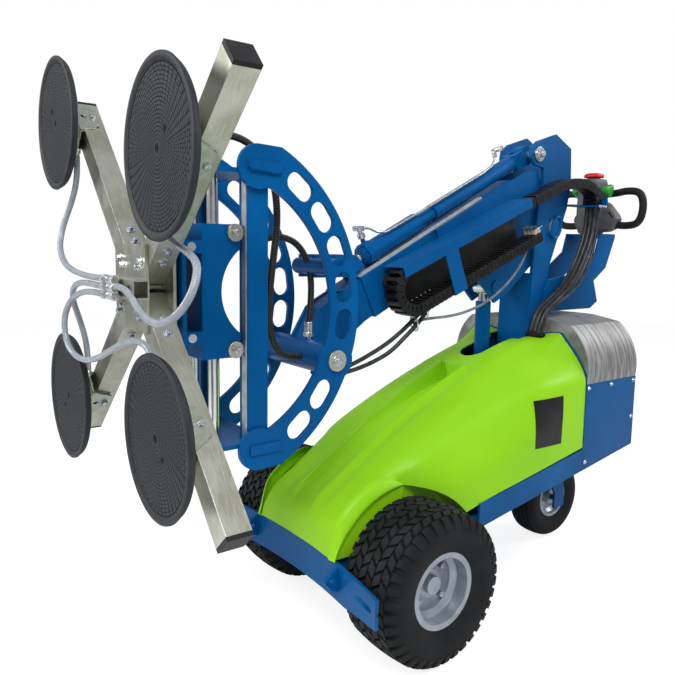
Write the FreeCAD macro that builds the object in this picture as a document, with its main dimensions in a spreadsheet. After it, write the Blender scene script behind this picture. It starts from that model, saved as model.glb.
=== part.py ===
import FreeCAD, Part
import math
import os
import re

# Glass panel lifter: a pedestrian battery glazing lifter with a four-disc vacuum head.
# Front is -Y, the machine's left is +X, the floor is z = 0. Stations along the machine
# are measured from the front axle, heights from the floor, all in millimetres.

Vector = FreeCAD.Vector

DIMENSIONS = {
    # Stance
    "AxleY": 255,
    "SeatGap": 0.3,
    "RunningFit": 0.05,
    "Overrun": 5,
    # Front wheels, 18 inch tyres on 8 inch rims
    "WheelRadius": 228,
    "TyreWidth": 216,
    "TrackHalf": 330,
    "BeadRadius": 101,
    "FlangeRadius": 115,
    "RimWidth": 178,
    "RimWall": 5,
    "DropRadius": 84,
    "DropHalf": 34,
    "DropSlope": 12,
    "NaveInset": 65,
    "NaveSheet": 7,
    "HubRadius": 43,
    "HubHalf": 32,
    "SpindleRadius": 20,
    "HubCapRadius": 27,
    "HubCapLength": 18,
    "WheelBoltRadius": 9,
    "WheelBoltLength": 16,
    "WheelBoltCircle": 62,
    "WheelBoltCount": 4,
    # Rear castor, 13 inch ribbed tyre on a 6 inch rim
    "CastorY": 1015,
    "CastorTrail": 72,
    "CastorRadius": 165,
    "CastorTyreWidth": 120,
    "CastorBead": 76,
    "CastorFlange": 88,
    "CastorRimWidth": 92,
    "CastorDrop": 64,
    "CastorDropHalf": 18,
    "CastorNaveInset": 30,
    "CastorHub": 30,
    "CastorHubHalf": 40,
    "CastorAxle": 12,
    "ForkLeg": 10,
    "ForkGap": 9,
    "ForkWidth": 62,
    "CrownClear": 5,
    "CrownSheet": 14,
    "CrownHalf": 72,
    "SwivelRadius": 22,
    "SwivelLength": 46,
    "SwivelBoss": 44,
    # Chassis
    "BodyHalf": 320,
    "StripSheet": 8,
    "StripStart": 250,
    "StripEnd": 788,
    "StripFrontZ": 316,
    "StripRise": 82,
    "StripHeight": 80,
    "FloorLift": 20,
    "FloorSheet": 8,
    "FloorEnd": 1106,
    "RailX": 150,
    "RailSheet": 40,
    "RailFront": -205,
    "RailRear": 330,
    "RailLow": 196,
    "RailHigh": 288,
    "CrossSheet": 8,
    # Drive axle
    "AxleTube": 45,
    "AxleTubeHalf": 212,
    "GearRadius": 88,
    "GearHalf": 70,
    "MotorRadius": 66,
    "MotorHalf": 120,
    "MotorY": 150,
    "MotorZ": 262,
    # Bumper
    "BumperHalf": 445,
    "BumperRadius": 2000,
    "BumperSheet": 10,
    "BumperTop": 298,
    "BumperLow": 190,
    "BumperEndLow": 216,
    "BumperFlat": 270,
    "LugX": 229,
    "LugSheet": 12,
    "LugReach": 46,
    "LugHeight": 78,
    "LugBore": 9,
    "LugZ": 256,
    # Rear box and counterweights
    "BoxStart": 790,
    "BoxEnd": 1115,
    "BoxTop": 717,
    "BoxSheet": 6,
    "SlabCount": 8,
    "SlabGap": 0.5,
    "SlabStart": 794,
    "SlabEnd": 1112,
    "SlabTop": 938,
    "SlabShoulder": 238,
    "MastNotch": 80,
    "MastNotchEnd": 874,
    # Hood
    "HoodStart": -232,
    "HoodEnd": 786,
    "HoodWall": 6,
    "RidgeDrop": 44,
    "ArchRadius": 252,
    "ArchHalf": 214,
    "LipRadius": 272,
    "LipHalf": 226,
    "LipEnd": 40,
    "TroughHalf": 50,
    "TroughDepth": 55,
    "TroughStart": -190,
    "TroughEnd": 445,
    "SlotHalf": 52,
    "SlotStart": 500,
    "MastSlotHalf": 82,
    "MastSlotStart": 700,
    # Mast
    "MastInner": 62,
    "MastSheet": 12,
    "MastFront": 730,
    "MastDepth": 255,
    "MastBase": 440,
    "MastTop": 1626,
    "ColumnFront": 765,
    "ColumnRear": 865,
    "ColumnTop": 1100,
    "WebSheet": 8,
    "CableShelfX": 112,
    "CableShelfEnd": 1092,
    "CableShelfStart": 955,
    "CableShelfZ": 1362,
    "CableShelfSheet": 6,
    "CableShelfLip": 34,
    # Pivots of the lift, seen from the side
    "BoomPinY": 892,
    "BoomPinZ": 1279,
    "BoomPin": 25,
    "LinkPinY": 775,
    "LinkPinZ": 1543,
    "LinkPin": 18,
    "LiftPinY": 590,
    "LiftBaseZ": 470,
    "LiftTopZ": 1055,
    "LiftPin": 18,
    "PinHead": 9,
    # Boom, along its own axis from the boom pin
    "BoomAngle": 26.5,
    "BoomFront": -905,
    "BoomRear": -130,
    "BoomLow": 110,
    "BoomHigh": 250,
    "BoomHalf": 48,
    "BoomWall": 6,
    "CheekSheet": 10,
    "SlideGap": 0.4,
    "InnerWall": 5,
    "InnerFront": -985,
    "InnerRear": -320,
    "HeadPinU": -1169,
    "HeadPinV": 131,
    "HeadPin": 25,
    "NoseTube": 46,
    "NoseHalf": 158,
    "NoseSheet": 12,
    "StripWidth": 18,
    "StripThick": 6,
    "StripEdge": 4,
    "StripRear": -300,
    # Chain tray and energy chain
    "ChainAngle": 22,
    "ChainY": 112,
    "ChainZ": 1064,
    "ChainX": 92,
    "ChainWidth": 58,
    "ChainLoop": 66,
    "ChainHeight": 34,
    "ChainRun": 640,
    "ChainPitch": 38,
    "ChainGroove": 5,
    "TraySheet": 3,
    "TrayStart": -30,
    "TrayEnd": 610,
    "TrayLip": 30,
    "StrapStart": 150,
    "StrapWidth": 60,
    "ArchEndY": 1066,
    "ArchTopY": 985,
    "ArchTopZ": 1440,
    # Levelling link, along its own axis from the upper mast pin
    "LinkLength": 915,
    "LinkEye": 36,
    "LinkEyeHalf": 20,
    "LinkCheek": 8,
    "BarrelRadius": 29,
    "BarrelStart": 70,
    "BarrelEnd": 520,
    "TubeRadius": 22,
    "TubeStart": 150,
    "TiltBodyRadius": 33,
    "TiltBodyStart": 600,
    "TiltBodyEnd": 845,
    "GlandRadius": 37,
    "GlandLength": 34,
    "TiltRodRadius": 15,
    "TiltRodStart": 680,
    "RodEye": 30,
    "RodEyeHalf": 18,
    # Lift cylinder
    "LiftBarrelRadius": 28,
    "LiftBarrelLength": 530,
    "LiftBarrelStart": 26,
    "LiftRodRadius": 20,
    "LiftRodStart": 120,
    "LiftEye": 30,
    "LiftEyeHalf": 28.5,
    "LiftLug": 12,
    "LiftLugHalf": 46,
    # Tilt frame with two slotted arc plates
    "ArcY": -605,
    "ArcZ": 1025,
    "ArcRadius": 420,
    "ArcBand": 98,
    "ArcEndBand": 118,
    "ArcReach": 46,
    "ArcHalfAngle": 63,
    "ArcSheet": 12,
    "ArcX": 163,
    "ArcEndRadius": 56,
    "ArcSlotLength": 88,
    "ArcSlotWidth": 54,
    "ArcSlotStep": 14.2,
    "PivotBoss": 58,
    "ArcPadLength": 92,
    "ArcPadWidth": 26,
    "ArcPadThick": 6,
    "LinkLugSheet": 12,
    "LinkLugX": 30,
    "LinkLugRadius": 34,
    "TieTube": 24,
    "RailInnerX": 120,
    "RailFrontY": -486,
    "RailDepth": 60,
    "RailWall": 7,
    "RailBottom": 668,
    "RailTop": 1384,
    "BarSheet": 12,
    "BarFrontY": -570,
    "RunStripX": 138,
    "RunStripWidth": 22,
    "RunStripThick": 3,
    "RodX": 75,
    "RodY": -540,
    "RodRadius": 14,
    # Carriage
    "CarriageHalf": 140,
    "CarriageSheet": 10,
    "CarriageFrontY": -600,
    "CarriageLow": 905,
    "CarriageHigh": 1245,
    "EarRearY": -494,
    "EarHeight": 62,
    "BossRadius": 27,
    "BossLength": 66,
    "RollerRadius": 22,
    "RollerWidth": 11,
    "RollerBolt": 9,
    # Side shift
    "ShiftY": -626,
    "ShiftLowZ": 962,
    "ShiftHighZ": 1188,
    "ShiftRod": 11,
    "ShiftBlock": 16,
    "ShiftSleeve": 19,
    "ShiftSleeveHalf": 76,
    "ShiftX": 40,
    "ShiftPlateHalf": 116,
    "ShiftPlateY": -658,
    "ShiftPlateSheet": 10,
    "ShiftPlateLow": 935,
    "ShiftPlateHigh": 1240,
    # Rotating cross
    "HubZ": 1087,
    "SlewRing": 84,
    "SlewRingThick": 10,
    "SlewShaft": 30,
    "HubPlateHalf": 105,
    "HubPlateSheet": 8,
    "ArmSize": 60,
    "ArmWall": 4,
    "ArmInner": 46,
    "ArmOuter": 676,
    "CapThick": 10,
    "CrossAngle": 41.5,
    "CrossSpread": 92.5,
    "ChannelHalf": 118,
    "ChannelHeight": 46,
    "ChannelDepth": 36,
    "ChannelWall": 4,
    "ManifoldHalf": 52,
    "ManifoldDepth": 30,
    "ManifoldHeight": 56,
    "BarbRadius": 5,
    "BarbLength": 16,
    # Vacuum discs
    "DiscRadius": 183,
    "DiscFaceY": -805,
    "PadThick": 20,
    "PadLip": 10,
    "BackRadius": 150,
    "BackThick": 8,
    "SaddleHalf": 66,
    "SaddleSheet": 4,
    "SaddleFrontY": -752,
    "SaddleReach": 34,
    "SaddleEarShare": 0.62,
    "GuideRadius": 5,
    "GuideOffset": 46,
    "GuideTail": 7,
    "SpringRadius": 9.5,
    "SpringWire": 1.4,
    "SpringTurns": 4,
    "PortOffset": 112,
    "PortHalf": 11,
    "HoseRadius": 8,
    "HoseWall": 2,
    # Tiller
    "TillerY": 1250,
    "TillerHalf": 46,
    "TillerDepth": 120,
    "TillerLow": 1262,
    "TillerHigh": 1490,
    "LoopReach": 205,
    "LoopTube": 15,
    "LoopTopZ": 1440,
    "LoopLowZ": 1295,
    "ButtonHalf": 34,
    "ButtonHigh": 20,
    "ButtonTravel": 5,
    "StemRadius": 5,
    "StemLength": 16,
    "LeverX": 64,
    "LeverRadius": 27,
    "LeverThick": 16,
    "LeverZ": 1440,
    "LeverShaft": 7,
    "HornRadius": 9,
    "HornHigh": 7,
    "HornZ": 1352,
    "BracketSheet": 8,
    "BracketTube": 20,
    # Inside the hood
    "BatteryHalf": 150,
    "BatteryStart": 330,
    "BatteryEnd": 530,
    "BatteryHigh": 180,
    "PumpStart": 640,
    "PumpEnd": 745,
    "PumpHalf": 120,
    "PumpHigh": 150,
    # Hoses
    "DropHose": 9,
    "FrameHose": 10,
}

doc = FreeCAD.newDocument("GlassPanelLifter")
sheet = doc.addObject("Spreadsheet::Sheet", "Sizes")
for row, (alias, value) in enumerate(DIMENSIONS.items(), start=1):
    sheet.set("A%d" % row, alias)
    sheet.set("B%d" % row, str(value))
    sheet.setAlias("B%d" % row, alias)
doc.recompute()

nodes = {}


def size(alias):
    return float(sheet.get(alias))


def formula(text):
    """Point every alias in an expression at its cell of the sheet."""
    def cell(match):
        word = match.group(0)
        return "Sizes." + word if word in DIMENSIONS else word
    return re.sub(r"[A-Za-z_]+", cell, str(text))


def bind(item, **expressions):
    for name, text in expressions.items():
        item.setExpression(name.replace("_", "."), formula(text))


def seat(item, x=0, y=0, z=0):
    """Place an object at a station measured from the front axle."""
    bind(item, Placement_Base_x=x, Placement_Base_y="%s - AxleY" % y, Placement_Base_z=z)
    return item


def box(x, y, z, dx, dy, dz):
    item = doc.addObject("Part::Box", "Block")
    bind(item, Length=dx, Width=dy, Height=dz)
    return seat(item, x, y, z)


def rod(axis, x, y, z, radius, length):
    item = doc.addObject("Part::Cylinder", "Rod")
    turns = {"X": (Vector(0, 1, 0), 90), "Y": (Vector(1, 0, 0), -90), "Z": (Vector(0, 0, 1), 0)}
    item.Placement = FreeCAD.Placement(Vector(0, 0, 0), FreeCAD.Rotation(*turns[axis]))
    bind(item, Radius=radius, Height=length)
    return seat(item, x, y, z)


def fuse(*items):
    joined = doc.addObject("Part::MultiFuse", "Joined")
    joined.Shapes = list(items)
    joined.Refine = True
    return joined


def cut(base, *tools):
    trimmed = doc.addObject("Part::Cut", "Trimmed")
    trimmed.Base = base
    trimmed.Tool = tools[0] if len(tools) == 1 else fuse(*tools)
    return trimmed


def common(first, second):
    shared = doc.addObject("Part::Common", "Shared")
    shared.Base = first
    shared.Tool = second
    return shared


def group(*items):
    """Loose solids of one node, kept apart."""
    kept = doc.addObject("Part::Compound", "Group")
    kept.Links = list(items)
    return kept


def mirrored(item):
    """The same piece on the machine's other side."""
    copy = doc.addObject("Part::Mirroring", "Mirror")
    copy.Source = item
    copy.Normal = Vector(1, 0, 0)
    return copy


def feature(shape):
    item = doc.addObject("Part::Feature", "Form")
    item.Shape = shape
    return item


def node(label, item):
    item.Label = label
    nodes[label] = item
    return item


def tilt(item, y, z, angle):
    """Stand a piece that was built along +Y on its pivot, at its slope."""
    item.Placement = FreeCAD.Placement(Vector(0, 0, 0), FreeCAD.Rotation(Vector(1, 0, 0), 1))
    bind(item, Placement_Rotation_Angle=angle)
    return seat(item, 0, y, z)


def plane_of(body, role):
    return next(item for item in body.Origin.OriginFeatures if item.Role == role)


def polygon(body, role, points):
    """A closed outline whose corners are bound to the sheet."""
    sketch = body.newObject("Sketcher::SketchObject", "Outline")
    sketch.AttachmentSupport = [(plane_of(body, role), "")]
    sketch.MapMode = "FlatFace"
    spots = [(value_of(a), value_of(b)) for a, b in points]
    count = len(spots)
    for index in range(count):
        start = Vector(*spots[index], 0)
        end = Vector(*spots[(index + 1) % count], 0)
        sketch.addGeometry(Part.LineSegment(start, end), False)
    for index in range(count):
        sketch.addConstraint(sketcher("Coincident", index, 2, (index + 1) % count, 1))
    for index, (across, along) in enumerate(points):
        for kind, text, spot in (("DistanceX", across, spots[index][0]),
                                 ("DistanceY", along, spots[index][1])):
            number = sketch.addConstraint(sketcher(kind, -1, 1, index, 1, spot))
            sketch.setExpression("Constraints[%d]" % number, formula(text))
    return sketch


def sketcher(*args):
    import Sketcher
    return Sketcher.Constraint(*args)


def value_of(text):
    """The number that an expression of aliases gives now."""
    scratch = doc.getObject("Scratch") or doc.addObject("App::FeaturePython", "Scratch")
    return float(scratch.evalExpression(formula(text)))


def plate(points, x, thickness):
    """A flat plate cut to a side outline, from x towards +X."""
    body = doc.addObject("PartDesign::Body", "Plate")
    sketch = polygon(body, "YZ_Plane", points)
    pad = body.newObject("PartDesign::Pad", "Sheet")
    pad.Profile = sketch
    bind(pad, Length=thickness)
    return seat(body, x, 0, 0)


def turned(points, x, y, z):
    """A ring turned about its own X axis, from (x, radius) corners."""
    body = doc.addObject("PartDesign::Body", "Turned")
    sketch = polygon(body, "XY_Plane", points)
    ring = body.newObject("PartDesign::Revolution", "Turn")
    ring.Profile = sketch
    ring.ReferenceAxis = (sketch, ["H_Axis"])
    return seat(body, x, y, z)


def shared(shares, y0, depth, z0, height):
    """Outline corners from shares of a depth and a height."""
    return [("%s + %s*(%s)" % (y0, a, depth), "%s + %s*(%s)" % (z0, b, height)) for a, b in shares]


def floor_line(y):
    """Lower edge of the rising chassis strip at a station."""
    return "(StripFrontZ + StripRise*((%s) - StripStart)/(StripEnd - StripStart))" % y


def tube_along(points, radius, bore=0):
    """A hose of straight runs joined by tangent arcs, each arc as large as its runs allow."""
    bend_share = 0.45
    least_turn = 0.002
    runs = [points[i + 1] - points[i] for i in range(len(points) - 1)]
    edges = []
    radii = []
    last = points[0]
    for index in range(1, len(points) - 1):
        before = runs[index - 1]
        after = runs[index]
        way_in = Vector(before).normalize()
        way_out = Vector(after).normalize()
        turn = way_in.getAngle(way_out)
        if math.isclose(turn, 0, abs_tol=least_turn):
            continue
        setback = bend_share * min(before.Length, after.Length)
        radii.append(setback / math.tan(turn / 2))
        start = points[index] - way_in * setback
        end = points[index] + way_out * setback
        lift = (way_out - way_in).normalize()
        reach = radii[-1] * (1 / math.cos(turn / 2) - 1)
        middle = points[index] + lift * reach
        edges.append(Part.LineSegment(last, start).toShape())
        edges.append(Part.Arc(start, middle, end).toShape())
        last = end
    edges.append(Part.LineSegment(last, points[-1]).toShape())
    path = Part.Wire(edges)
    ring = Part.Wire(Part.Circle(points[0], runs[0], radius).toShape())
    solid = path.makePipeShell([ring], True, True)
    if bore:
        hole = Part.Wire(Part.Circle(points[0], runs[0], bore).toShape())
        solid = solid.cut(path.makePipeShell([hole], True, True))
    print("hose radii", [round(r) for r in radii], "length", round(path.Length))
    return solid


def station(x, y, z):
    return Vector(x, y - size("AxleY"), z)


# Wheels

tyre_outer_shares = [(0.98, 0.34), (1.0, 0.56), (0.95, 0.8), (0.84, 0.92), (0.42, 1.0)]


def tyre_outline(half, bead, radius, seat_half, flange):
    """Tyre section: beads inside the rim flanges, bulging walls, a crowned tread."""
    right = [("%s" % seat_half, bead), ("%s" % seat_half, "%s + SeatGap" % flange)]
    for across, up in tyre_outer_shares:
        right.append(("%s*(%s)" % (across, half), "%s + %s*(%s - %s)" % (bead, up, radius, bead)))
    left = [("-(%s)" % a, b) for a, b in reversed(right)]
    return right + left


def rim_outline(half, bead, flange, drop, drop_half, nave, hub, hub_half, bore):
    """Two-flange rim with a dropped centre, a dished nave and a hub tube."""
    edge = "%s - RimWall" % half
    slope = "(%s + DropSlope)" % drop_half
    face = "(%s - %s)" % (half, nave)
    back = "(%s - NaveSheet)" % face
    return [
        (half, flange), (edge, flange), (edge, bead), (slope, bead), (drop_half, drop),
        ("-(%s)" % drop_half, drop), ("-(%s)" % slope, bead), ("-(%s)" % edge, bead),
        ("-(%s)" % edge, flange), ("-(%s)" % half, flange), ("-(%s)" % half, "%s - RimWall" % bead),
        ("-(%s)" % slope, "%s - RimWall" % bead), ("-(%s)" % drop_half, "%s - RimWall" % drop),
        (back, "%s - RimWall" % drop), (back, hub), ("-(%s)" % hub_half, hub),
        ("-(%s)" % hub_half, bore), (hub_half, bore), (hub_half, hub), (face, hub),
        (face, "%s - RimWall" % drop), (drop_half, "%s - RimWall" % drop),
        (slope, "%s - RimWall" % bead), (half, "%s - RimWall" % bead),
    ]


def front_wheel(side, x):
    tyre = turned(tyre_outline("TyreWidth/2", "BeadRadius + SeatGap", "WheelRadius",
                               "RimWidth/2 - RimWall - SeatGap", "FlangeRadius"), x, 0, "WheelRadius")
    node(side + "_front_tyre", tyre)
    rim = turned(rim_outline("RimWidth/2", "BeadRadius", "FlangeRadius", "DropRadius", "DropHalf",
                             "NaveInset", "HubRadius", "HubHalf", "SpindleRadius + RunningFit"),
                 0, 0, "WheelRadius")
    pieces = [rim, rod("X", "HubHalf - RunningFit", 0, "WheelRadius", "HubCapRadius", "HubCapLength")]
    for number in range(int(size("WheelBoltCount"))):
        angle = "(45 + %d*360/WheelBoltCount)" % number
        pieces.append(rod("X", "RimWidth/2 - NaveInset - RunningFit", "WheelBoltCircle*cos(%s)" % angle,
                          "WheelRadius + WheelBoltCircle*sin(%s)" % angle, "WheelBoltRadius",
                          "WheelBoltLength"))
    whole = fuse(*pieces)
    if side == "right":
        whole = mirrored(whole)
    moved = group(whole)
    bind(moved, Placement_Base_x=x)
    node(side + "_front_rim", moved)


front_wheel("left", "TrackHalf")
front_wheel("right", "-TrackHalf")

castor_tyre = turned(tyre_outline("CastorTyreWidth/2", "CastorBead + SeatGap", "CastorRadius",
                                  "CastorRimWidth/2 - RimWall - SeatGap", "CastorFlange"),
                     0, "CastorY", "CastorRadius")
node("castor_tyre", castor_tyre)
castor_rim = turned(rim_outline("CastorRimWidth/2", "CastorBead", "CastorFlange", "CastorDrop",
                                "CastorDropHalf",
                                "CastorNaveInset", "CastorHub", "CastorHubHalf", "CastorAxle + RunningFit"),
                    0, "CastorY", "CastorRadius")
node("castor_rim", castor_rim)


def castor_fork():
    """Two legs under a crown, with the axle across them and the swivel post on top."""
    leg_x = "(CastorTyreWidth/2 + ForkGap)"
    crown_z = "(2*CastorRadius + CrownClear)"
    swivel_y = "(CastorY - CastorTrail)"
    foot = "CastorY - ForkWidth/2"
    outline = [(foot, "CastorRadius - ForkWidth/2"), ("CastorY + ForkWidth/2",
                                                      "CastorRadius - ForkWidth/2"),
               ("CastorY + ForkWidth/2", "CastorRadius + ForkWidth/2"),
               (swivel_y + " + CrownHalf", crown_z),
               (swivel_y + " - CrownHalf/2", crown_z), (foot, "CastorRadius + ForkWidth/2")]
    left = plate(outline, leg_x, "ForkLeg")
    right = plate(outline, "-%s - ForkLeg" % leg_x, "ForkLeg")
    wide = "(%s + ForkLeg)" % leg_x
    crown = box("-" + wide, swivel_y + " - CrownHalf", crown_z, "2*" + wide, "2*CrownHalf", "CrownSheet")
    post = rod("Z", 0, swivel_y, crown_z, "SwivelRadius", "CrownSheet + SwivelLength")
    axle = rod("X", "-" + wide, "CastorY", "CastorRadius", "CastorAxle", "2*" + wide)
    return fuse(left, right, crown, post, axle)


node("castor_fork", castor_fork())


# Chassis

def chassis_frame():
    """Rising side strips and floor, front rails round the axle, the castor boss and cylinder lugs."""
    strip = [("StripStart", floor_line("StripStart")), ("StripEnd", floor_line("StripEnd")),
             ("StripEnd", floor_line("StripEnd") + " + StripHeight"),
             ("StripStart", floor_line("StripStart") + " + StripHeight")]
    left = plate(strip, "BodyHalf - StripSheet", "StripSheet")
    lift = " + FloorLift"
    deck = [("StripStart", floor_line("StripStart") + lift), ("FloorEnd", floor_line("FloorEnd") + lift),
            ("FloorEnd", floor_line("FloorEnd") + lift + " + FloorSheet"),
            ("StripStart", floor_line("StripStart") + lift + " + FloorSheet")]
    floor = plate(deck, "-(BodyHalf - BoxSheet - SeatGap)", "2*(BodyHalf - BoxSheet - SeatGap)")
    rail_outline = [("RailFront", "RailLow"), ("StripStart", "RailLow"),
                    ("RailRear", floor_line("RailRear") + lift),
                    ("RailRear", floor_line("RailRear") + lift + " + FloorSheet"),
                    ("StripStart", floor_line("StripStart") + lift + " + FloorSheet"),
                    ("WheelRadius/2", "RailHigh"),
                    ("RailFront", "RailHigh")]
    rail = plate(rail_outline, "RailX", "RailSheet")
    cross = box("-(RailX + RailSheet)", "RailFront - CrossSheet", "RailLow", "2*(RailX + RailSheet)",
                "CrossSheet",
                "RailHigh - RailLow")
    swivel_y = "(CastorY - CastorTrail)"
    post_z = "(2*CastorRadius + CrownClear + CrownSheet + SeatGap)"
    boss = rod("Z", 0, swivel_y, post_z, "SwivelBoss",
               floor_line(swivel_y) + lift + " + FloorSheet - " + post_z)
    lug_outline = [("LiftPinY - LiftLugHalf", floor_line("LiftPinY - LiftLugHalf") + lift),
                   ("LiftPinY + LiftLugHalf", floor_line("LiftPinY + LiftLugHalf") + lift),
                   ("LiftPinY + LiftEye", "LiftBaseZ + LiftEye"),
                   ("LiftPinY - LiftEye", "LiftBaseZ + LiftEye")]
    lug = plate(lug_outline, "LiftEyeHalf + SeatGap", "LiftLug")
    solid = fuse(left, mirrored(left), floor, rail, mirrored(rail), cross, boss, lug, mirrored(lug))
    axle_hole = rod("X", "-BodyHalf", 0, "WheelRadius", "AxleTube + SeatGap", "2*BodyHalf")
    post_hole = rod("Z", 0, swivel_y, post_z + " - Overrun", "SwivelRadius + RunningFit",
                    "SwivelLength + Overrun + SeatGap")
    pin_hole = rod("X", "-BodyHalf/2", "LiftPinY", "LiftBaseZ", "LiftPin + RunningFit", "BodyHalf")
    return cut(solid, axle_hole, post_hole, pin_hole)


node("chassis_frame", chassis_frame())


def drive_axle():
    """Axle tube with a gear case in the middle, spindles at its ends and the motor behind."""
    tube = rod("X", "-AxleTubeHalf", 0, "WheelRadius", "AxleTube", "2*AxleTubeHalf")
    case = rod("X", "-GearHalf", 0, "WheelRadius", "GearRadius", "2*GearHalf")
    reach = "(TrackHalf + HubHalf - SeatGap)"
    spindle = rod("X", "-" + reach, 0, "WheelRadius", "SpindleRadius", "2*" + reach)
    motor = rod("X", "-MotorHalf", "MotorY", "MotorZ", "MotorRadius", "2*MotorHalf")
    return fuse(tube, case, spindle, motor)


node("drive_axle", drive_axle())


def front_bumper():
    """A plate bowed in plan, its ends swept forward past the tyres, with two lashing ears."""
    low_z = "BumperLow"
    height = "(BumperTop - BumperLow)"
    middle = "(RailFront - CrossSheet - SeatGap - BumperSheet)"
    outer = rod("Z", 0, middle + " + BumperSheet - BumperRadius", low_z, "BumperRadius", height)
    inner = rod("Z", 0, middle + " + BumperSheet - BumperRadius", low_z, "BumperRadius - BumperSheet",
                height)
    body = doc.addObject("PartDesign::Body", "BumperFront")
    sketch = polygon(body, "XZ_Plane", [("-BumperHalf", "BumperEndLow"), ("-BumperFlat", low_z),
                                        ("BumperFlat", low_z),
                                        ("BumperHalf", "BumperEndLow"), ("BumperHalf", "BumperTop"),
                                        ("-BumperHalf", "BumperTop")])
    pad = body.newObject("PartDesign::Pad", "Depth")
    pad.Profile = sketch
    bind(pad, Length="2*WheelRadius")
    seat(body, 0, "-WheelRadius/2", 0)
    bow = common(cut(outer, inner), body)
    drop = "(BumperRadius - sqrt(BumperRadius^2 - LugX^2))"
    face = "(%s - %s)" % (middle, drop)
    ear_outline = [(face + " + BumperSheet/2", "LugZ - LugHeight/2"),
                   (face + " + BumperSheet/2", "LugZ + LugHeight/2"),
                   (face + " - LugReach/2", "LugZ + LugHeight/3"), (face + " - LugReach", "LugZ"),
                   (face + " - LugReach/2", "LugZ - LugHeight/3")]
    ear = plate(ear_outline, "LugX - LugSheet/2", "LugSheet")
    hole = rod("X", "-BumperHalf", face + " - LugReach/2", "LugZ", "LugBore", "2*BumperHalf")
    return cut(fuse(bow, ear, mirrored(ear)), hole)


node("front_bumper", front_bumper())


def rear_box():
    """Folded sheet over the castor: two sides, a back and a top that carries the weights."""
    outer = plate([("BoxStart", floor_line("BoxStart")), ("BoxEnd", floor_line("BoxEnd")),
                   ("BoxEnd", "BoxTop"),
                   ("BoxStart", "BoxTop")], "-BodyHalf", "2*BodyHalf")
    rear = "BoxEnd - BoxSheet"
    inner = plate([("BoxStart - Overrun", floor_line("BoxStart") + " - StripHeight"),
                   (rear, floor_line("BoxEnd") + " - StripHeight"), (rear, "BoxTop - BoxSheet"),
                   ("BoxStart - Overrun", "BoxTop - BoxSheet")], "-(BodyHalf - BoxSheet)",
                  "2*(BodyHalf - BoxSheet)")
    notch = box("-MastNotch", "BoxStart - Overrun", "BoxTop - 2*BoxSheet", "2*MastNotch",
                "MastNotchEnd - BoxStart + Overrun",
                "4*BoxSheet")
    return cut(outer, inner, notch)


node("rear_box", rear_box())


def counterweights():
    """Steel slabs stacked one behind another, all cut to the hood's rear section."""
    shoulder_shares = [(0.5, 1.0), (0.82, 0.93)]
    half = size("BodyHalf")
    low = size("BoxTop") + size("SeatGap")
    height = size("SlabTop") - low
    crown = size("SlabShoulder")
    corners = [Vector(-half, 0, low), Vector(half, 0, low)]
    bend = Vector(half * 0.95, 0, low + height * 0.55)
    top = Vector(crown, 0, low + height * 0.92)
    ridge = Vector(crown * shoulder_shares[0][0], 0, low + height)
    left = [Vector(-v.x, 0, v.z) for v in (bend, top, ridge)]
    edges = [Part.LineSegment(corners[0], corners[1]).toShape(), Part.Arc(corners[1], bend, top).toShape(),
             Part.LineSegment(top, ridge).toShape(), Part.LineSegment(ridge, left[2]).toShape(),
             Part.LineSegment(left[2], left[1]).toShape(), Part.Arc(left[1], left[0], corners[0]).toShape()]
    face = Part.Face(Part.Wire(edges))
    count = int(size("SlabCount"))
    step = (size("SlabEnd") - size("SlabStart")) / count
    start = size("SlabStart") - size("AxleY")
    slot = Part.makeBox(2 * size("MastNotch"), size("MastNotchEnd") - size("SlabStart") + size("Overrun"),
                        2 * height,
                        Vector(-size("MastNotch"), start - size("Overrun"), low - size("Overrun")))
    slabs = []
    for number in range(count):
        slab = face.extrude(Vector(0, step - size("SlabGap"), 0))
        slab.translate(Vector(0, start + number * step, 0))
        slabs.extend(slab.cut(slot).Solids)
    return feature(Part.makeCompound(slabs))


node("counterweights", counterweights())

# Hood sections from front to rear: station share, half-width and height of the lower edge, of the
# side crease and of the ridge, the last six as shares of the hood's rear section.
hood_shares = [
    (0.0, 0.64, 0.0, 0.62, 0.06, 0.5, 0.094),
    (0.0255, 0.65, 0.0, 0.635, 0.106, 0.5, 0.198),
    (0.066, 0.656, 0.0, 0.64, 0.144, 0.5, 0.252),
    (0.152, 0.668, 0.0, 0.656, 0.237, 0.5, 0.346),
    (0.228, 0.69, 0.0, 0.68, 0.338, 0.5, 0.428),
    (0.287, 0.8, 0.05, 0.737, 0.398, 0.5, 0.497),
    (0.379, 0.95, 0.11, 0.744, 0.486, 0.5, 0.583),
    (0.53, 0.99, 0.18, 0.77, 0.59, 0.5, 0.7),
    (0.67, 1.0, 0.22, 0.81, 0.667, 0.46, 0.817),
    (0.817, 1.0, 0.262, 0.94, 0.714, 0.42, 0.899),
    (0.916, 1.0, 0.29, 0.975, 0.719, 0.42, 0.946),
    (1.0, 1.0, 0.315, 1.0, 0.721, 0.63, 0.993),
]
# Depth of the valley below the ridges, as a share of its depth at the rear step, by station share.
trough_shares = [(0.0, 0.1), (0.05, 0.3), (0.12, 0.42), (0.23, 0.33), (0.35, 0.33), (0.47, 0.58),
                 (0.55, 0.72), (0.67, 1.0)]


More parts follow.
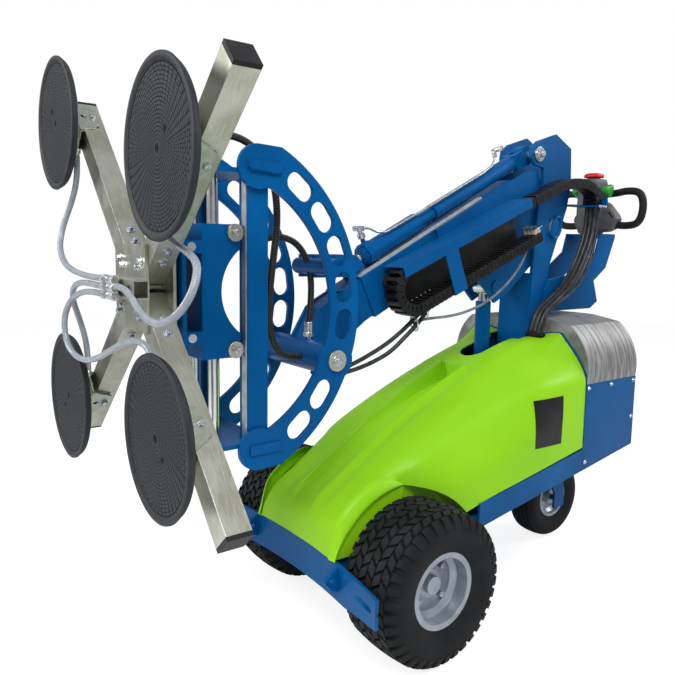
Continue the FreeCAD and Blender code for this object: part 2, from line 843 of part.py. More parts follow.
def hood_rows():
    """The sections with two more between each pair, on a smooth line through them."""
    between = 3
    rows = []
    last = len(hood_shares) - 1
    for index in range(last):
        before = hood_shares[max(index - 1, 0)]
        start = hood_shares[index]
        end = hood_shares[index + 1]
        after = hood_shares[min(index + 2, last)]
        for step in range(between):
            t = step / between
            row = [start[0] + t * (end[0] - start[0])]
            for a, b, c, d in zip(before[1:], start[1:], end[1:], after[1:]):
                slope_in = (c - a) / 2 if (c - b) * (b - a) > 0 else 0
                slope_out = (d - b) / 2 if (d - c) * (c - b) > 0 else 0
                cubic = (2 * t ** 3 - 3 * t ** 2 + 1) * b + (t ** 3 - 2 * t ** 2 + t) * slope_in
                row.append(cubic + (3 * t ** 2 - 2 * t ** 3) * c + (t ** 3 - t ** 2) * slope_out)
            rows.append(tuple(row))
    return rows + [hood_shares[-1]]


def hood_body(inset):
    """The moulding's skin, or its inside when inset by the wall."""
    low = size("BumperTop") + size("SeatGap") * 4
    height = size("SlabTop") - size("RidgeDrop") - low
    length = size("HoodEnd") - size("HoodStart")
    half = size("BodyHalf")
    sections = []
    for index, (along, wide, base, crease_wide, crease, ridge_wide, ridge) in enumerate(hood_rows()):
        y = size("HoodStart") + along * length - size("AxleY")
        if inset and index == 0:
            y += inset
        w = wide * half - inset
        w_crease = crease_wide * half - inset
        z_low = low + base * height - inset * 4
        z_crease = low + crease * height - inset / 2
        w_ridge = ridge_wide * half - inset / 2
        z_ridge = low + ridge * height - inset
        bulge = 0.62
        mid = Vector(w_ridge + (w_crease - w_ridge) * bulge, y, z_crease + (z_ridge - z_crease) * bulge)
        right = [Vector(w, y, z_low), Vector(w_crease, y, z_crease), mid, Vector(w_ridge, y, z_ridge)]
        left = [Vector(-v.x, v.y, v.z) for v in right]
        edges = [Part.LineSegment(left[0], right[0]).toShape(),
                 Part.LineSegment(right[0], right[1]).toShape(),
                 Part.Arc(right[1], right[2], right[3]).toShape(),
                 Part.LineSegment(right[3], left[3]).toShape(),
                 Part.Arc(left[3], left[2], left[1]).toShape(),
                 Part.LineSegment(left[1], left[0]).toShape()]
        sections.append(Part.Wire(edges))
    return Part.makeLoft(sections, True, True)


def trough_depth(along):
    """Depth of the valley at a station share."""
    for first, second in zip(trough_shares, trough_shares[1:]):
        if first[0] <= along <= second[0]:
            part = (along - first[0]) / (second[0] - first[0])
            return size("TroughDepth") * (first[1] + part * (second[1] - first[1]))
    return size("TroughDepth")


def hood_trough(inset):
    """The valley between the two ridges, deepest at the step behind it."""
    low = size("BumperTop") + size("SeatGap") * 4
    height = size("SlabTop") - size("RidgeDrop") - low
    length = size("HoodEnd") - size("HoodStart")
    line = [(size("HoodStart") + row[0] * length, low + row[6] * height - trough_depth(row[0]) - inset)
            for row in hood_rows()]
    line = [spot for spot in line if size("TroughStart") <= spot[0] < size("TroughEnd")]
    spots = [station(0, y, z) for y, z in line]
    end_share = (size("TroughEnd") - size("HoodStart")) / length
    spots += [station(0, size("TroughEnd") + inset,
                      hood_ridge(size("TroughEnd")) - trough_depth(end_share) - inset),
              station(0, size("TroughEnd") + inset, size("SlabTop")),
              station(0, line[0][0], size("SlabTop"))]
    half = size("TroughHalf") + inset
    wire = Part.makePolygon(spots + [spots[0]])
    solid = Part.Face(wire).extrude(Vector(2 * half, 0, 0))
    solid.translate(Vector(-half, 0, 0))
    return solid


def hood_ridge(y):
    """Height of the hood's ridge at a station."""
    low = size("BumperTop") + size("SeatGap") * 4
    height = size("SlabTop") - size("RidgeDrop") - low
    along = (y - size("HoodStart")) / (size("HoodEnd") - size("HoodStart"))
    for first, second in zip(hood_rows(), hood_rows()[1:]):
        if first[0] <= along <= second[0]:
            part = (along - first[0]) / (second[0] - first[0])
            return low + height * (first[6] + part * (second[6] - first[6]))
    return low + height


def arch_lip(side):
    """The raised band of the moulding round a tyre's inner shoulder, ahead of the axle."""
    root = size("ArchHalf") - size("HoodWall")
    deep = size("LipHalf") - root
    axle = station(0, 0, size("WheelRadius"))
    start = axle + Vector(side * root, 0, 0)
    way = Vector(side, 0, 0)
    ring = Part.makeCylinder(size("LipRadius"), deep, start, way)
    ring = ring.cut(Part.makeCylinder(size("ArchRadius") - size("Overrun") / 5, deep, start, way))
    reach = size("LipRadius") + size("LipEnd")
    corner = station(min(side * root, side * size("LipHalf")), -size("LipRadius"),
                     size("BumperTop") + size("SeatGap") * 4)
    return ring.common(Part.makeBox(deep, reach, reach, corner))


def hood():
    """Moulded cover: a wedge with a valley on top, arches over the tyres, a slot for the cylinder."""
    wall = size("HoodWall")
    outer = hood_body(0).cut(hood_trough(0))
    inner = hood_body(wall).cut(hood_trough(wall))
    shell = outer.cut(inner)
    radius = size("ArchRadius")
    wide = size("BodyHalf")
    axle = station(0, 0, size("WheelRadius"))
    for side in (-1, 1):
        arch = Part.makeCylinder(radius, wide, axle + Vector(side * size("ArchHalf"), 0, 0),
                                 Vector(side, 0, 0))
        shell = shell.cut(arch)
        shell = shell.fuse(arch_lip(side))
    slot_low = size("StripFrontZ") + size("StripRise") + size("StripHeight") + size("HoodWall") * 4
    slot = Part.makeBox(2 * size("SlotHalf"), size("HoodEnd") - size("SlotStart"), size("SlabTop"),
                        station(-size("SlotHalf"), size("SlotStart"), slot_low))
    mast = Part.makeBox(2 * size("MastSlotHalf"),
                        size("HoodEnd") - size("MastSlotStart") + size("Overrun"), size("SlabTop"),
                        station(-size("MastSlotHalf"), size("MastSlotStart"), 0))
    rear = Part.makeBox(2 * (wide - 2 * wall), size("Overrun") * 8, size("BoxTop"),
                        station(-(wide - 2 * wall), size("HoodEnd") - size("Overrun") * 4, 0))
    shell = shell.cut(slot).cut(mast).cut(rear)
    below = [station(0, size("HoodStart") - size("Overrun"), 0),
             station(0, size("HoodStart") - size("Overrun"), size("BumperTop") + size("SeatGap")),
             station(0, size("StripStart"), size("StripFrontZ") + size("StripHeight") + size("SeatGap")),
             station(0, size("HoodEnd") + size("Overrun"),
                     value_of(floor_line("HoodEnd + Overrun") + " + StripHeight + SeatGap")),
             station(0, size("HoodEnd") + size("Overrun"), 0)]
    under = Part.Face(Part.makePolygon(below + [below[0]])).extrude(Vector(2 * wide + 2 * wall, 0, 0))
    under.translate(Vector(-wide - wall, 0, 0))
    shell = shell.cut(under)
    solids = sorted(shell.Solids, key=lambda s: s.Volume)
    return feature(solids[-1])


node("hood", hood())

def power_pack():
    """Battery case in front of the cylinder, and the pump motor standing on its oil tank behind it."""
    case_floor = floor_line("BatteryEnd") + " + FloorLift + FloorSheet + SeatGap"
    battery = box("-BatteryHalf", "BatteryStart", case_floor, "2*BatteryHalf",
                  "BatteryEnd - BatteryStart", "BatteryHigh")
    base = floor_line("PumpEnd") + " + FloorLift + FloorSheet + SeatGap"
    tank = box("-PumpHalf", "PumpStart", base, "2*PumpHalf", "PumpEnd - PumpStart", "PumpHigh/2")
    motor = rod("X", "-PumpHalf", "(PumpStart + PumpEnd)/2", base + " + PumpHigh*0.72", "PumpHigh*0.26",
                "2*PumpHalf*0.8")
    return group(battery, fuse(tank, motor))


node("power_pack", power_pack())

# Mast outline from the front of the link ear, as shares of its depth and height.
mast_shares = [
    (0.529, 0.388), (0.557, 0.578), (0.929, 0.771), (1.0, 0.847), (0.961, 0.962), (0.584, 1.0),
               (0.157, 0.97),
    (0.02, 0.949), (0.0, 0.919), (0.118, 0.898), (0.322, 0.89), (0.333, 0.838), (0.235, 0.751),
               (0.176, 0.599),
    (0.137, 0.388),
]


def mast():
    """Twin side plates on a boxed column, with a shelf for the cables behind."""
    foot = " + FloorLift + FloorSheet + SeatGap"
    outline = [("ColumnFront", floor_line("ColumnFront") + foot),
               ("ColumnRear", floor_line("ColumnRear") + foot)]
    outline += shared(mast_shares, "MastFront", "MastDepth", "MastBase", "MastTop - MastBase")
    left = plate(outline, "MastInner", "MastSheet")
    web_low = floor_line("ColumnRear") + foot
    front = box("-MastInner - SeatGap", "ColumnFront", web_low, "2*(MastInner + SeatGap)", "WebSheet",
                "ColumnTop - (%s)" % web_low)
    back = box("-MastInner - SeatGap", "ColumnRear - WebSheet", web_low, "2*(MastInner + SeatGap)",
               "WebSheet",
               "ColumnTop - (%s)" % web_low)
    shelf = box("MastInner", "CableShelfStart", "CableShelfZ", "CableShelfX - MastInner",
                "CableShelfEnd - CableShelfStart", "CableShelfSheet")
    lip = box("MastInner", "CableShelfEnd - CableShelfSheet", "CableShelfZ",
              "CableShelfX - MastInner + ChainWidth",
              "CableShelfSheet", "CableShelfLip")
    wing = box("MastInner", "CableShelfEnd - ChainWidth", "CableShelfZ",
               "CableShelfX - MastInner + ChainWidth",
               "ChainWidth", "CableShelfSheet")
    solid = fuse(left, mirrored(left), front, back, shelf, lip, wing)
    wide = "2*(MastInner + MastSheet + Overrun)"
    edge = "-(MastInner + MastSheet + Overrun)"
    boom_hole = rod("X", edge, "BoomPinY", "BoomPinZ", "BoomPin + RunningFit", wide)
    link_hole = rod("X", edge, "LinkPinY", "LinkPinZ", "LinkPin + RunningFit", wide)
    return cut(solid, boom_hole, link_hole)


node("mast", mast())


def headed_pin(y, z, radius, half):
    """A plain pin with a round head at each end."""
    pin = rod("X", "-(%s) - PinHead" % half, y, z, radius, "2*(%s) + 2*PinHead" % half)
    head = rod("X", "%s + SeatGap" % half, y, z, "1.5*(%s)" % radius, "PinHead")
    return fuse(pin, head, mirrored(head))


node("pivot_pins", group(headed_pin("BoomPinY", "BoomPinZ", "BoomPin", "MastInner + MastSheet"),
                         headed_pin("LinkPinY", "LinkPinZ", "LinkPin", "MastInner + MastSheet"),
                         headed_pin("LiftPinY", "LiftBaseZ", "LiftPin", "LiftEyeHalf + SeatGap + LiftLug")))

# Boom

cheek_shares = [(-0.62, 1.0), (-0.066, 1.0), (0.0, 0.94), (0.05, 0.24), (0.066, 0.0), (0.033, -0.2),
                (-0.022, -0.22),
                (-0.365, -0.46), (-0.442, -0.46), (-0.464, -0.24), (-0.52, 0.24), (-0.62, 0.44)]


def outer_boom():
    """Box tube between two deep cheeks that reach the boom pin and the lift cylinder."""
    tube = box("-BoomHalf", "BoomFront + AxleY", "BoomLow", "2*BoomHalf", "BoomRear - BoomFront",
               "BoomHigh - BoomLow")
    core = box("-(BoomHalf - BoomWall)", "BoomFront + AxleY - Overrun", "BoomLow + BoomWall",
               "2*(BoomHalf - BoomWall)",
               "BoomRear - BoomFront + 2*Overrun", "BoomHigh - BoomLow - 2*BoomWall")
    outline = [("%s*(-BoomFront) + AxleY" % a, "%s*BoomHigh" % b) for a, b in cheek_shares]
    cheek = plate(outline, "BoomHalf", "CheekSheet")
    along = "(LiftPinY - BoomPinY)"
    down = "(LiftTopZ - BoomPinZ)"
    lift_u = "(%s*cos(BoomAngle) + %s*sin(BoomAngle))" % (along, down)
    lift_v = "(%s*cos(BoomAngle) - %s*sin(BoomAngle))" % (down, along)
    bolt = rod("X", "BoomHalf + CheekSheet/2", lift_u + " + AxleY", lift_v, "1.4*LiftPin", "CheekSheet")
    solid = fuse(cut(tube, core), cheek, mirrored(cheek), bolt, mirrored(bolt))
    hole = rod("X", "-2*BoomHalf", "AxleY", 0, "BoomPin + RunningFit", "4*BoomHalf")
    return tilt(group(cut(solid, hole)), "BoomPinY", "BoomPinZ", "BoomAngle")


node("outer_boom", outer_boom())

strip_piece = box("BoomHalf - StripEdge - StripWidth", "BoomFront + AxleY", "BoomHigh", "StripWidth",
                  "StripRear - BoomFront", "StripThick")
node("wear_strip", tilt(group(strip_piece, mirrored(strip_piece)), "BoomPinY", "BoomPinZ", "BoomAngle"))

nose_shares = [(0.1, 0.02), (0.1, 0.97), (0.5, 0.97), (0.66, 0.93), (1.0, 0.46), (1.14, 0.2),
               (1.14, 0.02), (1.0, -0.22),
               (0.72, -0.24), (0.36, -0.06)]
# The sloping lid over the nose, from the same corners.
lid_shares = [(0.34, 0.94), (0.49, 0.94), (0.645, 0.9), (0.97, 0.45), (0.95, 0.4), (0.635, 0.84),
              (0.49, 0.88),
              (0.34, 0.88)]


def inner_boom():
    """Sliding tube whose nose carries the cross tube for the head pin."""
    half = "(BoomHalf - BoomWall - SlideGap)"
    low = "(BoomLow + BoomWall + SlideGap)"
    high = "(BoomHigh - BoomWall - SlideGap)"
    tube = box("-" + half, "InnerFront + AxleY", low, "2*" + half, "InnerRear - InnerFront",
               "%s - %s" % (high, low))
    core = box("-(%s - InnerWall)" % half, "InnerFront + AxleY - Overrun", low + " + InnerWall",
               "2*(%s - InnerWall)" % half,
               "InnerRear - InnerFront + 2*Overrun", "%s - %s - 2*InnerWall" % (high, low))
    reach = "(InnerFront + 2*NoseTube - HeadPinU)"

    def outline(shares):
        return [("InnerFront + 2*NoseTube - %s*%s + AxleY" % (a, reach),
                 "%s + %s*(%s - %s)" % (low, b, high, low))
                for a, b in shares]

    cheek = plate(outline(nose_shares), half + " - NoseSheet", "NoseSheet")
    lid = plate(outline(lid_shares), "-(%s - NoseSheet*0.6)" % half, "2*(%s - NoseSheet*0.6)" % half)
    cross = rod("X", "-NoseHalf", "HeadPinU + AxleY", "HeadPinV", "NoseTube", "2*NoseHalf")
    solid = fuse(cut(tube, core), cheek, mirrored(cheek), lid, cross)
    hole = rod("X", "-NoseHalf - Overrun", "HeadPinU + AxleY", "HeadPinV", "HeadPin + RunningFit",
               "2*(NoseHalf + Overrun)")
    return tilt(group(cut(solid, hole)), "BoomPinY", "BoomPinZ", "BoomAngle")


node("inner_boom", inner_boom())

head_pin_y = "(BoomPinY + HeadPinU*cos(BoomAngle) - HeadPinV*sin(BoomAngle))"
head_pin_z = "(BoomPinZ + HeadPinU*sin(BoomAngle) + HeadPinV*cos(BoomAngle))"


def head_pin():
    """Through pin of the tilt frame, with a broad washer on each end."""
    half = "(ArcX + ArcSheet)"
    pin = rod("X", "-%s - PinHead" % half, head_pin_y, head_pin_z, "HeadPin", "2*%s + 2*PinHead" % half)
    washer = rod("X", half + " + SeatGap", head_pin_y, head_pin_z, "1.2*HeadPin", "PinHead")
    return fuse(pin, washer, mirrored(washer))


node("head_pin", head_pin())

# Chain tray and energy chain, along the chain's own slope from the middle of its loop


def chain_tray():
    """Folded sheet over the upper run, with a strap round the chain and a shelf at the lower run's end."""
    top = "(ChainLoop + ChainHeight/2 + SeatGap)"
    low = "(-ChainLoop - ChainHeight/2 - SeatGap)"
    inner = "(BoomHalf + CheekSheet + SeatGap)"
    outer = "(ChainX + ChainWidth + SeatGap)"
    roof = box(inner, "TrayStart + AxleY", top, "%s - %s + TraySheet" % (outer, inner),
               "TrayEnd - TrayStart", "TraySheet")
    lip = box(outer, "TrayStart + AxleY", top + " - TrayLip", "TraySheet", "TrayEnd - TrayStart",
              "TrayLip + TraySheet")
    strap = box(outer, "StrapStart + AxleY", low + " - TraySheet", "TraySheet", "StrapWidth",
                "%s - %s + 2*TraySheet" % (top, low))
    foot = box(inner, "StrapStart + AxleY", low + " - TraySheet", "%s - %s + TraySheet" % (outer, inner),
               "StrapWidth", "TraySheet")
    web = box(inner, "StrapStart + AxleY", low + " - TraySheet", "TraySheet", "TrayEnd - StrapStart",
              "%s - %s + 2*TraySheet" % (top, low))
    end = box(inner, "ChainRun - StrapWidth + AxleY", low + " - TraySheet", "%s - %s" % (outer, inner),
              "StrapWidth", "TraySheet")
    return tilt(group(fuse(roof, lip, strap, foot, web, end)), "ChainY", "ChainZ", "ChainAngle")


node("chain_tray", chain_tray())


def chain_form():
    """Energy chain: two runs and a half loop, cut into links by grooves across its outside."""
    loop = size("ChainLoop")
    rise = size("ChainHeight") / 2
    run = size("ChainRun")
    width = size("ChainWidth")
    inset = size("ChainX")

    def half_ring(radius):
        up = Vector(inset, 0, radius)
        return up, Vector(inset, -radius, 0), Vector(inset, 0, -radius)

    def outline(radius):
        up, tip, down = half_ring(radius)
        far_up = Vector(inset, run, radius)
        far_down = Vector(inset, run, -radius)
        return [Part.LineSegment(far_up, up).toShape(), Part.Arc(up, tip, down).toShape(),
                Part.LineSegment(down, far_down).toShape()], far_up, far_down

    outer_edges, outer_up, outer_down = outline(loop + rise)
    inner_edges, inner_up, inner_down = outline(loop - rise)
    ends = [Part.LineSegment(outer_up, inner_up).toShape(), Part.LineSegment(inner_down,
                                                                             outer_down).toShape()]
    wire = Part.Wire(Part.__sortEdges__(outer_edges + inner_edges + ends))
    band = Part.Face(wire).extrude(Vector(width, 0, 0))
    groove = size("ChainGroove")
    cuts = []

    def bar(turn, shift):
        tool = Part.makeBox(width + 2 * groove, groove, groove * 2,
                            Vector(inset - groove, -groove / 2, loop + rise - groove))
        if turn:
            tool.rotate(Vector(0, 0, 0), Vector(1, 0, 0), turn)
        tool.translate(Vector(0, shift, 0))
        cuts.append(tool)

    count = int(run / size("ChainPitch"))
    for number in range(1, count):
        bar(0, number * size("ChainPitch"))
        bar(180, number * size("ChainPitch"))
    bends = int(math.pi * (loop + rise) / size("ChainPitch"))
    for number in range(bends + 1):
        bar(180 * number / bends, 0)
    return band.cut(Part.makeCompound(cuts))


node("energy_chain", tilt(group(feature(chain_form())), "ChainY", "ChainZ", "ChainAngle"))


def chain_arch():
    """The free end of the chain, arched from the tray over to the shelf behind the mast."""
    rise = size("ChainHeight") / 2 - size("SeatGap")
    angle = math.radians(size("ChainAngle"))
    along = Vector(0, math.cos(angle), math.sin(angle))
    normal = Vector(0, -math.sin(angle), math.cos(angle))
    loop = station(size("ChainX"), size("ChainY"), size("ChainZ"))
    start = loop + along * (size("ChainRun") + size("SeatGap")) + normal * size("ChainLoop")
    top = station(size("ChainX"), size("ArchTopY"), size("ArchTopZ"))
    end = station(size("ChainX"), size("ArchEndY"),
                  size("CableShelfZ") + size("CableShelfSheet") + size("SeatGap"))
    run = top.y - start.y
    knee = start + along * (run * 0.55)
    upper = [start + normal * rise, knee + normal * rise, top + Vector(0, 0, rise),
             end + Vector(0, rise, 0)]
    lower = [start - normal * rise, knee - normal * rise, top - Vector(0, 0, rise),
             end - Vector(0, rise, 0)]
    crown = top + Vector(0, (end.y - top.y) * 0.75, (end.z - top.z) * 0.22)
    edges = [Part.LineSegment(upper[0], upper[1]).toShape(), Part.LineSegment(upper[1], upper[2]).toShape(),
             Part.Arc(upper[2], crown + Vector(0, rise * 0.75, rise * 0.75), upper[3]).toShape(),
             Part.LineSegment(upper[3], lower[3]).toShape(),
             Part.Arc(lower[3], crown - Vector(0, rise * 0.75, rise * 0.75), lower[2]).toShape(),
             Part.LineSegment(lower[2], lower[1]).toShape(), Part.LineSegment(lower[1], lower[0]).toShape(),
             Part.LineSegment(lower[0], upper[0]).toShape()]
    return feature(Part.Face(Part.Wire(edges)).extrude(Vector(size("ChainWidth"), 0, 0)))


node("chain_arch", chain_arch())

# Levelling link, built along -Y from the upper mast pin


def along_link(name, pieces):
    return node(name, tilt(group(pieces), "LinkPinY", "LinkPinZ", "BoomAngle"))


def link_eye():
    ring = rod("X", "-LinkEyeHalf", "AxleY", 0, "LinkEye", "2*LinkEyeHalf")
    hole = rod("X", "-LinkEyeHalf - Overrun", "AxleY", 0, "LinkPin + RunningFit",
               "2*(LinkEyeHalf + Overrun)")
    return cut(ring, hole)


along_link("link_eye", link_eye())


def link_barrel():
    """Sleeve with two cheeks on the mast pin, outside the eye."""
    inner = "(LinkEyeHalf + SeatGap)"
    sleeve = rod("Y", 0, "AxleY - BarrelEnd", 0, "BarrelRadius", "BarrelEnd - BarrelStart")
    bore = rod("Y", 0, "AxleY - BarrelEnd - Overrun", 0, "TubeRadius + RunningFit",
               "BarrelEnd - BarrelStart - LinkCheek + Overrun")
    arm = box(inner, "AxleY - BarrelStart - LinkCheek", "-BarrelRadius", "LinkCheek",
              "BarrelStart + LinkCheek", "2*BarrelRadius")
    lobe = rod("X", inner, "AxleY", 0, "BarrelRadius", "LinkCheek")
    root = box("-(%s + LinkCheek)" % inner, "AxleY - BarrelStart - LinkCheek", "-BarrelRadius",
               "2*(%s + LinkCheek)" % inner,
               "2*LinkCheek", "2*BarrelRadius")
    hole = rod("X", "-BoomHalf", "AxleY", 0, "LinkPin + RunningFit", "2*BoomHalf")
    return cut(fuse(sleeve, arm, lobe, mirrored(arm), mirrored(lobe), root), bore, hole)


along_link("link_barrel", link_barrel())


def link_tube():
    """Telescoping tube with the tilt cylinder's body and gland on its front."""
    tube = rod("Y", 0, "AxleY - TiltBodyEnd", 0, "TubeRadius", "TiltBodyEnd - TubeStart")
    body = rod("Y", 0, "AxleY - TiltBodyEnd", 0, "TiltBodyRadius", "TiltBodyEnd - TiltBodyStart")
    gland = rod("Y", 0, "AxleY - TiltBodyEnd", 0, "GlandRadius", "GlandLength")
    port = rod("Z", 0, "AxleY - TiltBodyEnd + GlandLength/2", 0, "TiltRodRadius/2", "1.8*GlandRadius")
    bore = rod("Y", 0, "AxleY - TiltBodyEnd - Overrun", 0, "TiltRodRadius + RunningFit",
               "TiltBodyEnd - TiltBodyStart")
    return cut(fuse(tube, body, gland, port), bore)


along_link("link_tube", link_tube())


def link_rod():
    shaft = rod("Y", 0, "AxleY - LinkLength", 0, "TiltRodRadius", "LinkLength - TiltRodStart")
    eye = rod("X", "-RodEyeHalf", "AxleY - LinkLength", 0, "RodEye", "2*RodEyeHalf")
    return fuse(shaft, eye)


along_link("link_rod", link_rod())

# Lift cylinder


def lift_barrel():
    tube = rod("Z", 0, "LiftPinY", "LiftBaseZ + LiftBarrelStart", "LiftBarrelRadius",
               "LiftBarrelLength - LiftBarrelStart")
    eye = rod("X", "-LiftEyeHalf", "LiftPinY", "LiftBaseZ", "LiftEye", "2*LiftEyeHalf")
    bore = rod("Z", 0, "LiftPinY", "LiftBaseZ + LiftRodStart - Overrun", "LiftRodRadius + RunningFit",
               "LiftBarrelLength")
    hole = rod("X", "-LiftEyeHalf - Overrun", "LiftPinY", "LiftBaseZ", "LiftPin + RunningFit",
               "2*(LiftEyeHalf + Overrun)")
    return cut(fuse(tube, eye), bore, hole)


node("lift_barrel", lift_barrel())


def lift_rod():
    shaft = rod("Z", 0, "LiftPinY", "LiftBaseZ + LiftRodStart", "LiftRodRadius",
                "LiftTopZ - LiftBaseZ - LiftRodStart")
    eye = rod("X", "-LiftEyeHalf", "LiftPinY", "LiftTopZ", "LiftEye", "2*LiftEyeHalf")
    return fuse(shaft, eye)


node("lift_rod", lift_rod())

# Tilt frame


def arc_plate(side):
    """A slotted arc with rounded ends and a boss round the head pin."""
    thick = size("ArcSheet")
    inner = size("ArcX") if side > 0 else -size("ArcX") - thick
    radius = size("ArcRadius")
    band = size("ArcBand") / 2
    centre = station(inner, size("ArcY"), size("ArcZ"))
    along = Vector(1, 0, 0)
    reach = math.radians(size("ArcHalfAngle"))

    def spot(angle, r):
        return centre + Vector(0, r * math.cos(angle), r * math.sin(angle))

    end_band = size("ArcEndBand") / 2
    ends = [spot(reach, radius + band), spot(0, radius + band), spot(-reach, radius + band)]
    inside = [spot(-reach, radius - end_band), spot(0, radius - band), spot(reach, radius - end_band)]
    edges = [Part.Arc(*ends).toShape(), Part.LineSegment(ends[2], inside[0]).toShape(),
             Part.Arc(*inside).toShape(),
             Part.LineSegment(inside[2], ends[0]).toShape()]
    solid = Part.Face(Part.Wire(edges)).extrude(along * thick)
    lobes = []
    for way, outer, within in ((1, ends[0], inside[2]), (-1, ends[2], inside[0])):
        lobe = spot(way * reach, radius) - Vector(0, size("ArcReach"), way * size("ArcReach") / 5)
        lobes.append(lobe)
        rise = Vector(0, 0, way * size("ArcEndRadius"))
        neck = Part.makePolygon([outer, within, lobe - rise, lobe + rise, outer])
        solid = solid.fuse(Part.Face(neck).extrude(along * thick))
        solid = solid.fuse(Part.makeCylinder(size("ArcEndRadius"), thick, lobe, along))
    pin = station(inner, value_of(head_pin_y), value_of(head_pin_z))
    solid = solid.fuse(Part.makeCylinder(size("PivotBoss"), thick, pin, along))
    slot_length = size("ArcSlotLength") - size("ArcSlotWidth")
    slot_radius = size("ArcSlotWidth") / 2
    step = math.radians(size("ArcSlotStep"))
    middle = Vector(0, pin.y - centre.y, pin.z - centre.z)
    base = math.atan2(middle.z, middle.y)
    for number in (-2, -1, 1, 2, 3, 4, 5):
        angle = base + number * step
        slot = Part.makeBox(thick * 3, 2 * slot_radius, slot_length,
                            Vector(-thick, -slot_radius, -slot_length / 2))
        for end in (-0.5, 0.5):
            slot = slot.fuse(Part.makeCylinder(slot_radius, thick * 3,
                                               Vector(-thick, 0, end * slot_length), along))
        slot.rotate(Vector(0, 0, 0), along, math.degrees(angle))
        slot.translate(spot(angle, radius))
        solid = solid.cut(slot)
    solid = solid.cut(Part.makeCylinder(size("HeadPin") + size("RunningFit"), thick * 3,
                                        pin - along * thick, along))
    face = inner + thick if side > 0 else inner - size("ArcPadThick")
    for lobe in lobes:
        pad = Part.makeBox(size("ArcPadThick"), size("ArcPadLength"), size("ArcPadWidth"),
                           Vector(face, -size("ArcPadLength") / 2, -size("ArcPadWidth") / 2))
        pad.translate(Vector(0, lobe.y + size("ArcBand") / 5, lobe.z))
        solid = solid.fuse(pad)
    return feature(solid.removeSplitter())


node("arc_plate_left", arc_plate(1))
node("arc_plate_right", arc_plate(-1))

link_front_y = "(LinkPinY - LinkLength*cos(BoomAngle))"
link_front_z = "(LinkPinZ - LinkLength*sin(BoomAngle))"


def tilt_frame():
    """Channels between the arc plates, cross bars top and bottom, and the lugs that meet the link."""
    web_x = "(ArcX - SeatGap - RailWall)"
    height = "(RailTop - RailBottom)"
    web = box(web_x, "RailFrontY", "RailBottom", "RailWall", "RailDepth", height)
    front = box("RailInnerX", "RailFrontY", "RailBottom", "%s - RailInnerX" % web_x, "RailWall", height)
    back = box("RailInnerX", "RailFrontY + RailDepth - RailWall", "RailBottom", "%s - RailInnerX" % web_x,
               "RailWall", height)
    wide = "(ArcX - SeatGap)"
    deep = "(RailFrontY + RailDepth - BarFrontY)"
    top = box("-" + wide, "BarFrontY", "RailTop - BarSheet", "2*" + wide, deep, "BarSheet")
    low = box("-" + wide, "BarFrontY", "RailBottom", "2*" + wide, deep, "BarSheet")
    arc_rear = "(ArcY + ArcRadius*cos(asin((%s - ArcZ)/ArcRadius)))" % link_front_z
    tie = rod("X", "-(LinkLugX + LinkLugSheet)", arc_rear, link_front_z, "TieTube",
              wide + " + LinkLugX + LinkLugSheet")
    lug_outline = [(arc_rear, link_front_z + " - LinkLugRadius"),
                   (link_front_y, link_front_z + " - LinkLugRadius"),
                   (link_front_y + " + LinkLugRadius", link_front_z),
                   (link_front_y, link_front_z + " + LinkLugRadius"),
                   (arc_rear, link_front_z + " + LinkLugRadius")]
    lug = plate(lug_outline, "LinkLugX", "LinkLugSheet")
    bolt = rod("X", "LinkLugX + LinkLugSheet/2", link_front_y, link_front_z, "LinkPin", "LinkLugSheet")
    return group(fuse(web, front, back, mirrored(web), mirrored(front), mirrored(back), top, low),
                 fuse(tie, lug, mirrored(lug), bolt, mirrored(bolt)))


node("tilt_frame", tilt_frame())


def slide_rods():
    length = "RailTop - RailBottom - 2*BarSheet"
    left = rod("Z", "RodX", "RodY", "RailBottom + BarSheet", "RodRadius", length)
    return group(left, mirrored(left))


node("slide_rods", slide_rods())


def run_strips():
    left = box("RunStripX", "RailFrontY - SeatGap - RunStripThick", "RailBottom + 2*BarSheet",
               "RunStripWidth", "RunStripThick",
               "RailTop - RailBottom - 4*BarSheet")
    return group(left, mirrored(left))


node("run_strips", run_strips())

# Carriage


